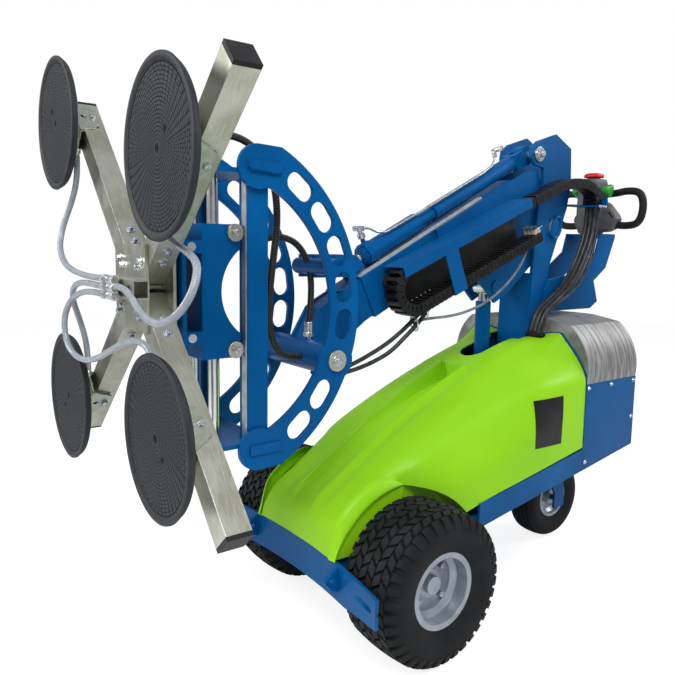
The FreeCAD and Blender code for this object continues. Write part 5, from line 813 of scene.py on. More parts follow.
def swept(form, spots, radius, sides=10, pick=0):
    """A round bar along points, its section carried without twisting; its ends are closed."""
    spots = [Vector(s) for s in spots]
    ways = [(b - a).normalized() for a, b in zip(spots, spots[1:])]
    ways = [ways[0]] + [(a + b).normalized() for a, b in zip(ways, ways[1:])] + [ways[-1]]
    side = ways[0].orthogonal().normalized()
    turns = [2 * math.pi * n / sides for n in range(sides)]
    rows = []
    for spot, way in zip(spots, ways):
        side = (side - way * side.dot(way)).normalized()
        other = way.cross(side)
        rows.append([spot + (side * math.cos(a) + other * math.sin(a)) * radius for a in turns])
    start = len(form.spots)
    form.grid(rows, around=True, pick=pick)
    last = start + (len(rows) - 1) * sides
    form.faces += [[start + n for n in range(sides)], [last + n for n in reversed(range(sides))]]
    form.picks += [pick, pick]


for name in arm_angles:
    outward, aside = arm_ways(name)
    coils = Form()
    for offset in (-guide_offset, guide_offset):
        root = station(hub_x, 0, hub_z) + outward * ((disc_reach[name] + offset) / 1000)
        line = []
        last = coil_turns * coil_steps
        for n in range(last + 1):
            turn = 2 * math.pi * n / coil_steps
            height = np.interp(n, (coil_flat, last - coil_flat), (coil_front, coil_rear)) / 1000
            round_bolt = outward * math.cos(turn) + aside * math.sin(turn)
            line.append(root + round_bolt * coil_radius + Vector((0, height, 0)))
        swept(coils, line, 0.0014, 8)
    piece = coils.settle("springs_" + name, "cross", spring_wire)
    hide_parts("cup_springs")
    station(0, -752, 0)
    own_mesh(piece)

# Hub fittings: plated hexagon bolts through the hub plates and arms,
# and pairs of slots punched in the channel's face, drawn as thin dark sheets of painted shade.
hub_bolts = Form()
middle = station(hub_x, 0, hub_z)
for name in arm_angles:
    outward, aside = arm_ways(name)
    for reach in (0.074, 0.098):
        bolt(hub_bolts, middle + outward * reach + Vector((0, -0.7443, 0)), (0, -1, 0), 13)
    for reach in (0.128, 0.17):
        for side in (-1, 1):
            bolt(hub_bolts, middle + outward * reach + aside * (side * 0.0301) + Vector((0, -0.7063, 0)),
                 aside * side, 13)
    for side in (-1, 1):
        bolt(hub_bolts, middle + outward * (disc_reach[name] / 1000) + aside * (side * 0.0344)
             + Vector((0, -0.7274, 0)), aside * side, 10)
hub_bolts.settle("hub_bolts", "cross", bright_bolt, sharp=20)
slots = Form()
for x in (-84, -56, 62, 92):
    slots.prism([(0.0055 * math.cos(a), 0.0055 * math.sin(a) + (0.004 if math.sin(a) > 0 else -0.004))
                 for a in np.linspace(0, 2 * math.pi, 24, False)], 0, 0.0006,
                facing(station(hub_x + x, -780.35, hub_z), (0, -1, 0)))
slots.settle("channel_slots", "cross", painted_hole_shade)

# Vacuum manifold: a turned steel cross pipe with hexagon couplings and brass barbs,
# screwed to the channel's face.
steel_fitting = plain_finish("steel_fitting", (0.50, 0.51, 0.52), (0.70, 0.71, 0.72), 1.0, 0.28)
brass = plain_finish("brass", (0.52, 0.38, 0.15), (0.68, 0.52, 0.24), 1.0, 0.28)
manifold_y, pipe_gap = -795.6, 19.04
block = Form()
for lift in (pipe_gap, 0, -pipe_gap):
    block.spin([(0.0105, -0.034), (0.0105, 0.034)], 24, facing(station(hub_x, manifold_y, hub_z + lift), (1, 0, 0)))
    for side in (-1, 1):
        block.spin([(0.0122, 0), (0.0122, 0.014), (0.011, 0.0155), (0.006, 0.0155)], 6,
                   facing(station(hub_x + side * 30, manifold_y, hub_z + lift), (side, 0, 0)))
block.spin([(0.012, -0.028), (0.013, -0.0265), (0.013, 0.0265), (0.012, 0.028)], 24,
           facing(station(hub_x, manifold_y, hub_z), (0, 0, 1)))
block.spin([(0.01, 0), (0.01, 0.008)], 24, facing(station(hub_x, manifold_y + 11, hub_z), (0, 1, 0)))
barbs = {"near_top": (92, 5.6, 1), "far_top": (-12, pipe_gap, -1), "far_bottom": (-12, 0, -1),
         "near_bottom": (-12, -pipe_gap, -1)}
for x, lift, side in barbs.values():
    block.spin([(0.0058, -0.009), (0.0058, 0), (0.0052, 0.003), (0.0056, 0.004), (0.005, 0.008), (0.0055, 0.009),
                (0.005, 0.014)], 20, facing(station(x, manifold_y, hub_z + lift), (side, 0, 0)), 1)
manifold = block.settle("manifold_cross", "cross", steel_fitting, brass, sharp=25)
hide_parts("vacuum_manifold")

# Vacuum hoses: clear soft PVC with a milky reinforcing spiral, pushed on the manifold's barbs
# and looping out in front of the cross to an elbow behind each disc.


def soft_line(name, points, radius):
    """A hose on a smooth spline through a route's control points."""
    curve = bpy.data.curves.new(name, "CURVE")
    curve.dimensions = "3D"
    spline = curve.splines.new("NURBS")
    spline.points.add(len(points) - 1)
    for point, place in zip(spline.points, points):
        point.co = (*place, 1)
    spline.order_u = 3
    spline.use_endpoint_u = True
    spline.resolution_u = 8
    curve.resolution_u = 8
    curve.bevel_depth = radius
    curve.bevel_resolution = 5
    curve.use_fill_caps = True
    piece = bpy.data.objects.new(name, curve)
    scene.collection.objects.link(piece)
    return piece


def line_length(piece):
    """Length of a hose along its middle, and the points of that line."""
    bare = piece.data.copy()
    bare.bevel_depth = 0
    probe = bpy.data.objects.new("probe", bare)
    scene.collection.objects.link(probe)
    bpy.context.view_layer.update()
    mesh = bpy.data.meshes.new_from_object(probe.evaluated_get(bpy.context.evaluated_depsgraph_get()))
    spots = [v.co.copy() for v in mesh.vertices]
    bpy.data.objects.remove(probe)
    bpy.data.meshes.remove(mesh)
    return sum((b - a).length for a, b in zip(spots, spots[1:])), spots


clear_hose, w, shader = finish("clear_hose", Roughness=0.22, IOR=1.45, Coat_Roughness=0.1, Subsurface_Weight=0.25,
                               Subsurface_Radius=(0.006, 0.006, 0.006), Coat_Weight=0.4)
along = w.node("ShaderNodeSeparateXYZ", outlet=0, Vector=w.node("ShaderNodeTexCoord", outlet=2))
around = w.node("ShaderNodeSeparateXYZ", outlet=1, Vector=w.node("ShaderNodeTexCoord", outlet=2))
spiral = ((along * 150 + around) * (2 * math.pi)).math("SINE").step(-0.2, 0.8)
pale = cloud(w, 22.0, 3.0).step(0.3, 0.7).mix((0.19, 0.225, 0.265, 1), (0.27, 0.305, 0.345, 1))
feed(w, shader, Base_Color=(spiral * 0.55).mix(pale, (0.47, 0.50, 0.54, 1)),
     Normal=grained(w, 0.35, 0.0006, spiral))

hose_routes = {
    "near_top": [(185, -801, 1085), (244, -810, 1072), (305, -819, 1056), (370, -826, 1042), (433, -827, 1038),
                 (480, -820, 1052), (504, -808, 1074), (513, -793, 1104), (505, -779, 1135), (482, -768, 1159),
                 (428, -762, 1179), (355, -762, 1197), (305, -765, 1228)],
    "far_top": [(-103, -800, 1107), (-159, -806, 1111), (-214, -811, 1118), (-266, -815, 1132), (-310, -814, 1154),
                (-340, -810, 1181), (-357, -802, 1210), (-362, -793, 1241), (-356, -782, 1276), (-339, -772, 1315),
                (-319, -766, 1357)],
    "far_bottom": [(-103, -799, 1089), (-159, -803, 1089), (-209, -805, 1081), (-250, -802, 1064), (-276, -797, 1042),
                   (-289, -790, 1019), (-292, -781, 992), (-286, -772, 957), (-271, -766, 915)],
    "near_bottom": [(-111, -800, 1068), (-173, -807, 1060), (-226, -814, 1038), (-260, -820, 1006), (-271, -823, 972),
                    (-264, -823, 936), (-240, -821, 906), (-193, -815, 886), (-134, -806, 883), (-72, -797, 896),
                    (-10, -789, 920), (55, -781, 946), (124, -775, 968), (193, -769, 969), (236, -767, 946)],
}
for name, route in hose_routes.items():
    root_x, lift, side = barbs[name]
    first = (root_x + side * 0.6, manifold_y, hub_z + lift)
    second = (first[0] + side * 34, manifold_y, hub_z + lift)
    port = along_arm(name, disc_reach[name] - port_inset, port_y)
    rise = 1 if name.endswith("bottom") else -1
    last = (port[0], port[1], port[2] + rise * 11.3)
    before = (port[0], port[1], port[2] + rise * 45.3)
    hose = soft_line("hose_" + name, [station(*p) for p in [first, second] + route + [before, last]], 0.008)
    hose.data.materials.append(clear_hose)
    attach(hose, "cross")
    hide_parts("vacuum_hose_" + name)
    station(*first)
    round(line_length(hose)[0], 3)

# Energy chain: glossy black nylon links, each of two side plates with bars across outside and inside,
# laid in the tray along the boom with a half loop at its front, and arched at its rear over to the shelf
# behind the mast. A black plate closes the tray behind it; its black is a painted shade inside the loop.
chain_nylon = plain_finish("chain_nylon", (0.004, 0.004, 0.0045), (0.009, 0.009, 0.010), 0.0, 0.3)


def link(form, at, way, out, long):
    """One link at a point of the chain's middle line, along a way, its outside towards out."""
    turn = placed(at, way, (1, 0, 0), out)
    h = 0.0178
    plate = [(-long * 0.56, -h * 0.5), (-long * 0.42, -h), (long * 0.36, -h), (long * 0.56, -h * 0.45),
             (long * 0.56, h * 0.45), (long * 0.36, h), (-long * 0.42, h), (-long * 0.56, h * 0.5)]
    upright = Matrix.Rotation(-math.pi / 2, 4, "X")
    for low, high in ((-0.0288, -0.0236), (0.0236, 0.0288)):
        form.prism([(x, -z) for x, z in plate], low, high, turn @ upright)
    for sunk, reach, thick, wide in ((0.0012, 0.30, 0.0016, 0.0245), (0.0003, 0.06, 0.0008, 0.0262)):
        for level in (-h + sunk, h - sunk):
            bar = [(u * long * reach, v * thick) for u, v in ((-1, -1), (1, -1), (1, 1), (-1, 1))]
            form.prism(bar, -wide, wide, turn @ Matrix.Translation((0, 0, level)) @ upright)


slope = math.radians(22)
uphill = Vector((0, math.cos(slope), math.sin(slope)))
square = Vector((0, -math.sin(slope), math.cos(slope)))
loop_middle = station(121, 112, 1064)
links = Form()
pitch, loop_radius = 0.0205, 0.066
run_links, loop_links = 31, 10
for n in range(run_links):
    links_at = uphill * (0.008 + n * pitch)
    link(links, loop_middle + links_at + square * loop_radius, uphill, square, pitch)
    link(links, loop_middle + links_at - square * loop_radius, -uphill, -square, pitch)
for n in range(loop_links):
    turn = math.pi * (n + 0.5) / loop_links
    out = square * math.cos(turn) - uphill * math.sin(turn)
    link(links, loop_middle + out * loop_radius, uphill * math.cos(turn) + square * math.sin(turn), out, pitch)
chain = links.settle("chain_links", "boom", chain_nylon, sharp=25)
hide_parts("energy_chain")

# A black sheet inside the chain loop: painted shade where the boom behind would lie in shadow.
shade_backing = Form()
back_turn = placed((0.0585, loop_middle.y, loop_middle.z), uphill, square, (1, 0, 0))
shade_backing.prism([(-0.03, -0.062), (0.6, -0.062), (0.6, 0.062), (-0.03, 0.062), (-0.05, 0.044), (-0.05, -0.044)],
              0, 0.003, back_turn)
shade_backing.settle("tray_shade_plate", "boom", black_plastic)

start = loop_middle + uphill * 0.6403 + square * loop_radius
arch_route = [(850, 1434), (940, 1446), (1012, 1440), (1058, 1420), (1066, 1385), (1066, 1368.5)]
arch_line = soft_line("arch_line", [start, start + uphill * 0.1] + [station(121, y, z) for y, z in arch_route], 0)
arch_length, arch_spots = line_length(arch_line)
bpy.data.objects.remove(arch_line)
arch_links = Form()
passed = np.concatenate([[0], np.cumsum([(b - a).length for a, b in zip(arch_spots, arch_spots[1:])])])
count = int(arch_length / pitch)
for n in range(count):
    goal = arch_length * (n + 0.5) / count
    k = min(int(np.searchsorted(passed, goal)) - 1, len(arch_spots) - 2)
    way = (arch_spots[k + 1] - arch_spots[k]).normalized()
    at = arch_spots[k] + way * (goal - passed[k])
    link(arch_links, at, way, Vector((0, -way.z, way.y)), arch_length / count)
arch = arch_links.settle("chain_arch_links", None, chain_nylon, sharp=25)
station(121, 1060, 1400)
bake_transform(arch)
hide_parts("chain_arch")

# Black hoses: a bundle of three in rubber, with four thinner ones beside it, from the chain's end down into
# the hood through a rubber ring, and one in a woven wrap from the boom's nose up through the tilt frame.


def threaded(form, points, radius, sides, pick=0):
    """A round bar along the smooth line through control points."""
    thread = soft_line("thread", points, 0)
    swept(form, line_length(thread)[1], radius, sides, pick)
    bpy.data.objects.remove(thread)


hose_rubber, w, shader = finish("hose_rubber", Specular_IOR_Level=0.35)
haze = cloud(w, 40.0, 4.0)
feed(w, shader, Base_Color=haze.step(0.3, 0.7).mix((0.014, 0.015, 0.017, 1), (0.04, 0.043, 0.048, 1)),
     Roughness=0.26 + haze * 0.2)
drop_route = [(1068, 1306), (1052, 1236), (1016, 1160), (966, 1088), (912, 1040), (858, 1008), (800, 976), (764, 934)]
hood_top, first_x, hose_gap = 884.3, 96.4, 18.3
for number in range(3):
    x = first_x + number * hose_gap
    points = [(x, 1068, 1361.7)] + [(x, y, z) for y, z in drop_route] + [(x, 753.2, hood_top)]
    hose = soft_line("drop_hose_%d" % number, [station(*p) for p in points], 0.009)
    hose.data.materials.append(hose_rubber)
    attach(hose, "chassis")
    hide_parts("drop_hoses")
    station(*points[0])
    round(line_length(hose)[0], 3)
grey_hose = plain_finish("grey_hose", (0.12, 0.135, 0.155), (0.19, 0.205, 0.225), 0.0, 0.34)
spare = Form()
for number, (x, shift, sag) in enumerate(((88, 12, 14), (106, 14, 26), (124, 13, 8), (141, 2, 30))):
    points = [(x, 1078, 1360), (x, 1076 + shift, 1306), (x + 2, 1062 + shift, 1232),
              (x + 3, 1024 + shift + sag * 0.4, 1156 - sag * 0.3), (x + 2, 972 + shift + sag * 0.3, 1084 - sag * 0.4),
              (x, 914 + shift, 1034 - sag * 0.3), (x, 858 + shift * 0.5, 1000), (x * 0.6 + 46, 800, 962),
              (x * 0.5 + 57, 770, 922), (x * 0.5 + 57, 762, 885)]
    threaded(spare, [station(*p) for p in points], 0.0062, 12, number % 2)
spare.settle("spare_hoses", "chassis", grey_hose, hose_rubber)
ring = Form()
ring_x, ring_y = 114.7, 755
ring_line = [station(ring_x + 40 * math.cos(t), ring_y + 15 * math.sin(t), 0)
             for t in np.linspace(0, 2 * math.pi, 41)]
for spot in ring_line:
    spot.z = np.interp((spot.y + AXLE) * 1000, [700, 786], [0.8635, 0.884]) + 0.002
swept(ring, ring_line, 0.0042, 10)
collar = []
for reach, lift in ((40, -0.004), (40, 0.004), (37, 0.010), (35.5, 0.016), (33, 0.018), (28, 0.018)):
    collar.append([station(ring_x + reach * math.cos(t), ring_y + (reach - 25) * math.sin(t), 873.5 + lift * 1000)
                   for t in np.linspace(0, 2 * math.pi, 48, False)])
ring.grid(collar, around=True)
ring.settle("hose_ring", "chassis", tyre_rubber)

wrapped, w, shader = finish("wrapped_hose", Specular_IOR_Level=0.3)
along = w.node("ShaderNodeSeparateXYZ", outlet=0, Vector=w.node("ShaderNodeTexCoord", outlet=2))
around = w.node("ShaderNodeSeparateXYZ", outlet=1, Vector=w.node("ShaderNodeTexCoord", outlet=2))
one = ((along * 64 + around * 3) * (2 * math.pi)).math("SINE")
two = ((along * 64 - around * 3) * (2 * math.pi)).math("SINE")
weave = (one * two).step(-0.6, 0.6)
feed(w, shader, Base_Color=weave.mix((0.006, 0.006, 0.006, 1), (0.035, 0.035, 0.036, 1)),
     Roughness=0.34 + weave * 0.2, Normal=grained(w, 0.6, 0.0015, weave))
frame_route = [(60, -312, 877), (61, -346, 914), (62, -362, 962), (60, -364, 1026), (62, -358, 1098),
               (58, -346, 1170), (54, -334, 1242), (50, -332, 1314), (46, -344, 1380), (42, -376, 1438),
               (38, -426, 1474), (35, -484, 1483), (34, -532, 1460), (34, -554, 1416)]
points = [(60, -259.2, 874.6)] + frame_route + [(34, -556, 1384.9)]
hose = soft_line("frame_hose_line", [station(*p) for p in points], 0.010)
hose.data.materials.append(wrapped)
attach(hose, "tilt_head")
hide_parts("frame_hose")
station(*points[0])
round(line_length(hose)[0], 3)

# Return hose: a second wrapped hose looped inside the tilt frame, a plated hose end crimped on each end.
# One end is screwed to the web of the left channel and the other to the boom's nose barrel.
points = [(116, -455, 1016), (98, -453, 1022), (70, -444, 1056), (42, -428, 1120), (26, -398, 1180), (18, -350, 1214),
          (20, -296, 1220), (24, -246, 1200), (28, -214, 1152), (31, -202, 1096), (34, -204, 1036), (36, -211, 988),
          (36, -214, 945)]
hose = soft_line("return_hose_line", [station(*p) for p in points], 0.0095)
hose.data.materials.append(wrapped)
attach(hose, "tilt_head")
ends = Form()
for spot, way in ((points[0], (-1, 0, 0)), (points[-1], (0, 0, 1))):
    turn = facing(station(*spot), way)
    ends.spin([(0.0085, -0.04), (0.0085, -0.016), (0.0135, -0.016), (0.0135, -0.004), (0.0118, -0.004),
               (0.0122, 0.024), (0.0112, 0.026), (0.0095, 0.026)], 24, turn)
    ends.spin([(0.0152, -0.018), (0.0152, -0.006), (0.0138, -0.0045), (0.0118, -0.0045)], 6, turn)
ends.settle("return_hose_ends", "tilt_head", steel_fitting, sharp=25)

# Boom cables: two black leads out of the chain's lower run, along under the boom to the nose, and a thin
# grey lead that leaves them at the front clip and hangs back to the strain reliefs. The clips are plated wire.
leads = Form()
for drop, bow, x in ((0, 0, 106), (22, 8, 118)):
    route = [(x, 236, 1052), (x, 212, 1026), (x * 0.98, 186, 996 - drop * 0.6), (x * 0.91, 150, 962 - drop * 0.9),
             (x * 0.84, 110, 928 - drop), (x * 0.78, 60, 894 - drop - bow), (80, 0, 866 - drop - bow),
             (77, -60, 842 - drop), (72, -115, 824 - drop * 0.6), (66, -170, 816 - drop * 0.4), (56, -215, 824)]
    threaded(leads, [station(*p) for p in route], 0.0068, 12)
leads_piece = leads.settle("boom_leads", None, hose_rubber)
station(80, 60, 880)
station(60, -200, 820)
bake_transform(leads_piece)
signal = Form()
route = [(101, 146, 950), (108, 170, 962), (124, 204, 968), (142, 256, 972), (150, 330, 982), (146, 438, 1010),
         (142, 540, 1064), (138, 620, 1130), (130, 664, 1190), (122, 680, 1236)]
threaded(signal, [station(*p) for p in route], 0.0045, 12)
signal.settle("signal_lead", "boom", grey_hose)
clips = Form()
for x, y, z in ((102, 150, 952), (110, 184, 987)):
    clip = [station(x + 17 * math.cos(t), y - 6 * math.sin(t), z + 24 * math.sin(t))
            for t in np.linspace(0, 2 * math.pi, 33)]
    swept(clips, clip, 0.0032, 8)
clips.settle("lead_clips", "boom", steel_fitting)

# Link front: a castellated steel gland nut in the blue enamel, screwed in the tilt cylinder's mouth,
# with a plated tee on the port above it.
slant = math.radians(26.5)
forward = Vector((0, -math.cos(slant), -math.sin(slant)))
above = Vector((0, -math.sin(slant), math.cos(slant)))
link_root = station(0, 775, 1543)
nut = Form()
teeth = []
for n in range(8):
    for share, r in ((-0.34, 0.0325), (-0.12, 0.0328), (0.12, 0.0328), (0.34, 0.0325), (0.36, 0.0285), (0.5, 0.0282),
                     (0.64, 0.0285)):
        a = 2 * math.pi * (n + share) / 8
        teeth.append((r * math.cos(a), r * math.sin(a)))
turn = facing(link_root + forward * 0.8432, forward)
nut.prism(teeth, 0, 0.012, turn)
nut.spin([(0.0285, 0), (0.0285, 0.015), (0.0265, 0.017), (0.0165, 0.017)], 48, turn)
nut.settle("gland_nut", "link_middle", blue_enamel, sharp=25)
tee = Form()
top = link_root + forward * 0.828 + above * 0.0668
tee.spin([(0.0125, -0.014), (0.0125, 0.0), (0.011, 0.0015), (0.0075, 0.0015), (0.0075, 0.012), (0.0085, 0.013),
          (0.0085, 0.024), (0.0075, 0.025)], 24, facing(top, above))
tee.spin([(0.0128, -0.012), (0.0128, -0.002), (0.0115, 0)], 6, facing(top, above))
for side in (-1, 1):
    turn = facing(top + above * 0.0185, (side, 0, 0))
    tee.spin([(0.0075, 0), (0.0075, 0.012), (0.0068, 0.013)], 20, turn)
    tee.spin([(0.0096, 0.011), (0.0096, 0.021), (0.0088, 0.0222), (0.004, 0.0222)], 6, turn)
tee.settle("gland_tee", "link_middle", bright_bolt, sharp=25)

# Link pipe: a plated steel hydraulic line, bent to lie along the link's tube,
# from the tee to an elbow union at its rear.
pipe = Form()
beside = Vector((1, 0, 0))
pipe_route = ((0.822, 0.084, 0.020), (0.806, 0.076, 0.023), (0.782, 0.052, 0.026), (0.75, 0.037, 0.026),
              (0.6, 0.034, 0.026), (0.42, 0.034, 0.026), (0.25, 0.034, 0.026), (0.198, 0.040, 0.024),
              (0.172, 0.054, 0.020), (0.165, 0.075, 0.018))
swept(pipe, [link_root + forward * s + above * h + beside * x for s, h, x in pipe_route], 0.0042, 12)
elbow = link_root + forward * 0.165 + above * 0.07 + beside * 0.018
pipe.spin([(0.0088, -0.012), (0.0088, 0.008), (0.0075, 0.010), (0.0075, 0.018)], 6, facing(elbow, above))
turn = facing(elbow + above * 0.012, -forward * 0.8 + beside * 0.6)
pipe.spin([(0.0078, 0), (0.0078, 0.034), (0.007, 0.036)], 20, turn)
pipe.spin([(0.0105, 0.016), (0.0105, 0.03), (0.0095, 0.0315)], 6, turn)
pipe.settle("link_pipe", "link_middle", steel_fitting, sharp=25)

# Arc stiffeners: a short flat steel bar welded along the top of each arc plate,
# with its weld bead, under the same blue enamel.
stiff = Form()
for side in (-1, 1):
    outline = [(-492, 1401), (-484, 1404), (-408, 1396), (-400, 1391), (-400, 1378), (-408, 1374), (-484, 1382),
               (-492, 1386)]
    for inset, low, high in ((0, 175.0, 183.4), (-4.5, 174.6, 177.6)):
        middle_y, middle_z = -446, 1389
        shape = []
        grow, rise = 1 - inset / 46, 1 - inset / 14
        for y, z in outline:
            spot = station(0, middle_y + (y - middle_y) * grow, middle_z + (z - middle_z) * rise)
            shape.append((spot.y, spot.z))
        turn = Matrix(((0, 0, side, 0), (1, 0, 0, 0), (0, 1, 0, 0), (0, 0, 0, 1)))
        stiff.prism(shape if side > 0 else shape[::-1], low / 1000, high / 1000, turn)
stiffeners = stiff.settle("arc_stiffeners", "tilt_head", blue_enamel)

# Bracket cheeks: side plates of sheet steel in greenish zinc, cut to a trapezium with a hole, and bolted
# on the arms beside every disc. Each hole is a thin dark disc of painted shade.
cheek_zinc = plain_finish("cheek_zinc", (0.33, 0.38, 0.30), (0.46, 0.50, 0.42), 0.85, 0.34)
cheeks = Form()
for name in arm_angles:
    outward, aside = arm_ways(name)
    at = station(hub_x, 0, hub_z) + outward * (disc_reach[name] / 1000)
    for side in (-1, 1):
        turn = placed(at + aside * (side * 0.0349), outward, (0, 1, 0), aside * side)
        shape = [(-0.058, -0.751), (0.058, -0.751), (0.058, -0.738), (0.030, -0.690), (-0.030, -0.690),
                 (-0.058, -0.738)]
        cheeks.prism(shape, 0, 0.003, turn)
        # The hole is a thin dark disc: painted shade.
        cheeks.spin([(0.0055, 0), (0.0055, 0.0004)], 20, turn @ Matrix.Translation((0.0, -0.733, 0.003)), 1)
        cheeks.spin([(0.0095, 0), (0.0095, 0.006), (0.0082, 0.0075)], 6,
                    turn @ Matrix.Translation((0.0, -0.706, 0.003)), 2)
cheeks.settle("bracket_cheeks", "cross", cheek_zinc, painted_hole_shade, bright_bolt, sharp=20)

# Tie-down eyes: an oval of round steel bar welded on each side of the mast, round the keeper cap
# of the boom's pin, all in the blue enamel.
eyes = Form()
cap_radius, cap_y, eye_y, eye_z = 33, 892, 890, 1279
for side in (-1, 1):
    oval = []
    for t in np.linspace(0, 2 * math.pi, 49):
        across_eye, up_eye = 23 * math.cos(t), 27 * math.sin(t) + (12 if math.sin(t) > 0 else -12)
        oval.append(station(side * 86.5, eye_y + across_eye + up_eye * 0.22, eye_z + up_eye))
    swept(eyes, oval, 0.0068, 12)
    cap_rows = []
    for grow, out in ((1.0, 74.2), (1.0, 84.4), (0.9, 86.2), (0.5, 86.4), (0.02, 86.4)):
        r = cap_radius * grow
        cap_rows.append([station(side * out, cap_y + r * math.cos(t), eye_z + r * math.sin(t))
                         for t in np.linspace(0, 2 * math.pi, 48, False)])
    eyes.grid(cap_rows, around=True)
eyes_piece = eyes.settle("tie_down_eyes", "chassis", blue_enamel)

# Chain clamps: cream nylon strain reliefs, screwed on a plated bar at the rear of the tray
# to hold the cables where they leave the chain.
cream = plain_finish("cream_nylon", (0.58, 0.55, 0.44), (0.68, 0.65, 0.54), 0.0, 0.5)
clamps = Form()


def on_tray(x, drop):
    """A turn square to the tray at its rear end, a drop below the chain's middle line."""
    at = loop_middle + uphill * 0.622 - square * drop
    return placed((x, at.y, at.z), (1, 0, 0), uphill, square)


for x in (0.098, 0.116, 0.134):
    turn = on_tray(x, 0.030)
    clamps.prism([(-0.007, -0.016), (0.007, -0.016), (0.0075, -0.012), (0.0075, 0.012), (0.007, 0.016),
                  (-0.007, 0.016), (-0.0075, 0.012), (-0.0075, -0.012)], -0.034, 0.0, turn)
    clamps.spin([(0.0042, 0), (0.0042, 0.004), (0.003, 0.005)], 6, turn, 1)
clamps.prism([(-0.034, -0.02), (0.034, -0.02), (0.036, -0.018), (0.036, 0.018), (0.034, 0.02), (-0.034, 0.02),
              (-0.036, 0.018), (-0.036, -0.018)], -0.0015, 0.0015, on_tray(0.116, 0.028), 1)
clamps.settle("chain_clamps", "boom", cream, steel_fitting, sharp=25)

# Tiller head: a grey moulded housing, tapered upwards, with an angular wing on each side that carries
# the foot of a hand loop; a slot is moulded into each wing, drawn as a black sheet of painted shade.
grey_moulding = plain_finish("grey_moulding", (0.070, 0.071, 0.076), (0.098, 0.099, 0.105), 0.0, 0.5)
tiller_y = 1250


def rounded_box(half_x, front, back, z, power=5, count=56):
    """A section with rounded corners at one height."""
    ring = []
    for n in range(count):
        t = 2 * math.pi * n / count
        c, s = math.cos(t), math.sin(t)
        ring.append(station(half_x * math.copysign(abs(c) ** (2 / power), c),
                            (front + back) / 2 + (back - front) / 2 * math.copysign(abs(s) ** (2 / power), s), z))
    return ring


def closed(form, rows, pick=0):
    """A skin over closed rows, with both ends covered."""
    start, count = len(form.spots), len(rows[0])
    form.grid(rows, around=True, pick=pick)
    last = start + (len(rows) - 1) * count
    form.faces += [[start + n for n in reversed(range(count))], [last + n for n in range(count)]]
    form.picks += [pick, pick]


housing = Form()
housing_sections = ((29, 1206, 1288, 1262), (36, 1200, 1296, 1265), (41, 1196, 1302, 1276), (45, 1192, 1308, 1306),
                    (46, 1190, 1310, 1350), (45, 1190, 1310, 1396), (43, 1192, 1309, 1440), (41.5, 1195, 1306, 1470),
                    (40, 1198, 1302, 1482), (37.5, 1202, 1298, 1488), (33, 1208, 1292, 1490))
closed(housing, [rounded_box(*section) for section in housing_sections])
for side in (-1, 1):
    outline = [(36, 1398), (54, 1390), (96, 1341), (104, 1324), (97, 1300), (84, 1282), (60, 1272), (36, 1270)]
    rows = []
    for y, grow in ((1266, 0.90), (1272, 0.97), (1280, 1.0), (1305, 1.0), (1312, 0.96), (1316, 0.88)):
        row = []
        for x, z in outline:
            reach = 46 + (x - 46) * (grow if x > 46 else 1)
            row.append(station(side * reach, y, 1330 + (z - 1330) * grow))
        rows.append(row if side > 0 else row[::-1])
    closed(housing, rows)
    # The slot is a thin black sheet on the wing: painted shade in the recess.
    groove = [(66, 1350), (86, 1328), (90, 1332), (70, 1354)]
    turn = Matrix(((side, 0, 0, 0), (0, 0, 1, station(0, 1264.6, 0).y), (0, 1, 0, 0), (0, 0, 0, 1)))
    housing.prism([(x / 1000, z / 1000) for x, z in groove], 0, 0.003, turn, 1)
housing.spin([(0.025, -0.002), (0.025, 0.0095), (0.024, 0.0104), (0.001, 0.0104)], 48,
             facing(station(0, tiller_y, 1489.6), (0, 0, 1)), 1)
head = housing.settle("tiller_housing", "chassis", grey_moulding, black_plastic, sharp=28)
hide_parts("tiller_head")

# Stop button: a red plastic cap, domed and hollow beneath, that slides over a black neck
# on the tiller's top.
red_cap = plain_finish("red_cap", (0.52, 0.008, 0.012), (0.64, 0.016, 0.018), 0.0, 0.34)
dome = Form()
dome_sections = ((27, 1506), (27, 1496.4), (27.6, 1495.4), (30, 1495.4), (33.4, 1496.4), (34, 1499), (34, 1504),
                 (33, 1508), (30, 1511.6), (24, 1514), (14, 1515.1), (5, 1515.3))
closed(dome, [rounded_box(h, tiller_y - h, tiller_y + h, z, 4) for h, z in dome_sections])
stop = dome.settle("stop_dome", "stop", red_cap, sharp=50)
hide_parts("stop_button")

# Speed levers: a moulded green butterfly grip on each end of the shaft through the tiller,
# with a lobe for the thumb and a hollow for the finger.
green_grip = plain_finish("green_grip", (0.012, 0.24, 0.022), (0.022, 0.33, 0.035), 0.0, 0.38)
shaft_z = 1440
levers = Form()
for side in (-1, 1):
    rows = []
    for x, grow in ((50, 0.52), (55, 0.58), (58, 0.84), (62, 0.96), (67, 1.0), (75, 1.0), (79, 0.94), (82, 0.8),
                    (83, 0.6)):
        row = []
        for n in range(64):
            t = 2 * math.pi * n / 64
            r = 21 + 15 * max(0, math.cos(t - math.pi)) ** 6 + 11 * max(0, math.cos(t - 0.75)) ** 5
            r = r + 6 * max(0, math.cos(t + 1.25)) ** 5 - 2.5 * math.exp(-((t - 1.95) / 0.28) ** 2)
            row.append(station(side * x, tiller_y + r * grow * math.cos(t), shaft_z + r * grow * math.sin(t)))
        rows.append(row if side > 0 else row[::-1])
    closed(levers, rows)
grips = levers.settle("speed_grips", "speed", green_grip, sharp=50)
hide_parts("speed_levers")

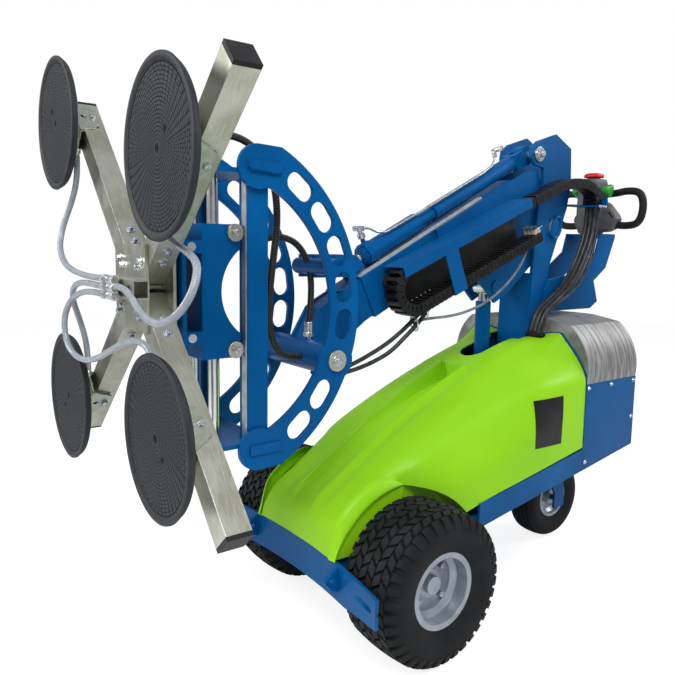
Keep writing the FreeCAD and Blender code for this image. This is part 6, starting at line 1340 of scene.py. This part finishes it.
# Horn button: a small domed cap of green plastic on a stem,
# pushed into the tiller's back.
cap = Form()
cap.spin([(0.0045, -0.006), (0.0045, 0), (0.0088, 0), (0.009, 0.001), (0.009, 0.004), (0.0078, 0.0062),
          (0.0045, 0.0073), (0.001, 0.0076)], 32, facing(station(0, 1315.2, 1352), (0, 1, 0)))
horn = cap.settle("horn_cap", "horn", green_grip, sharp=40)
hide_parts("horn_button")

# Hand loops: bent steel tube in a sleeve of black foam, out from the tiller beside the levers
# and back into its wings.
foam = plain_finish("grip_foam", (0.004, 0.004, 0.004), (0.008, 0.008, 0.009), 0.0, 0.62)
loop_root, loop_wide, loop_y, loop_foot, loop_tall = 40, 165, 1295, 1295, 145
loops = Form()
for side in (-1, 1):
    corners = [(0.0, 0.93), (0.22, 0.93), (0.56, 1.0), (0.92, 0.93), (1.0, 0.5), (0.9, 0.06), (0.54, 0.0),
               (0.22, 0.05), (0.0, 0.05)]
    route = [station(side * (loop_root + loop_wide * out), loop_y, loop_foot + loop_tall * up) for out, up in corners]
    threaded(loops, route, 0.015, 24)
loop_piece = loops.settle("hand_loops", "chassis", foam, sharp=60)
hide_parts("tiller_loops")

# Case screws: plated hexagon screws with washers, round the side plates of the rear box
# where they are fixed to the frame.
box_side = 320.2
screws = Form()
for side in (-1, 1):
    for y, z in ((806, 702), (806, 430), (1098, 702), (1098, 560), (950, 702)):
        bolt(screws, station(side * box_side, y, z), (side, 0, 0), 8)
screws.settle("case_screws", "chassis", bright_bolt, sharp=20)

# Shelf rivets: plated blind rivets through the lip of the cable shelf behind the mast,
# along its rear and its left side.
rivets = Form()
rivet_head = [(0.0045, 0), (0.0042, 0.0012), (0.003, 0.0024), (0.001, 0.0028)]
for x in (88, 108, 134, 158):
    rivets.spin(rivet_head, 20, facing(station(x, 1092.1, 1362), (0, 1, 0)))
    rivets.spin(rivet_head, 20, facing(station(170.1, 1040 + (x - 88) * 0.6, 1362), (1, 0, 0)))
rivets.settle("shelf_rivets", "chassis", bright_bolt)
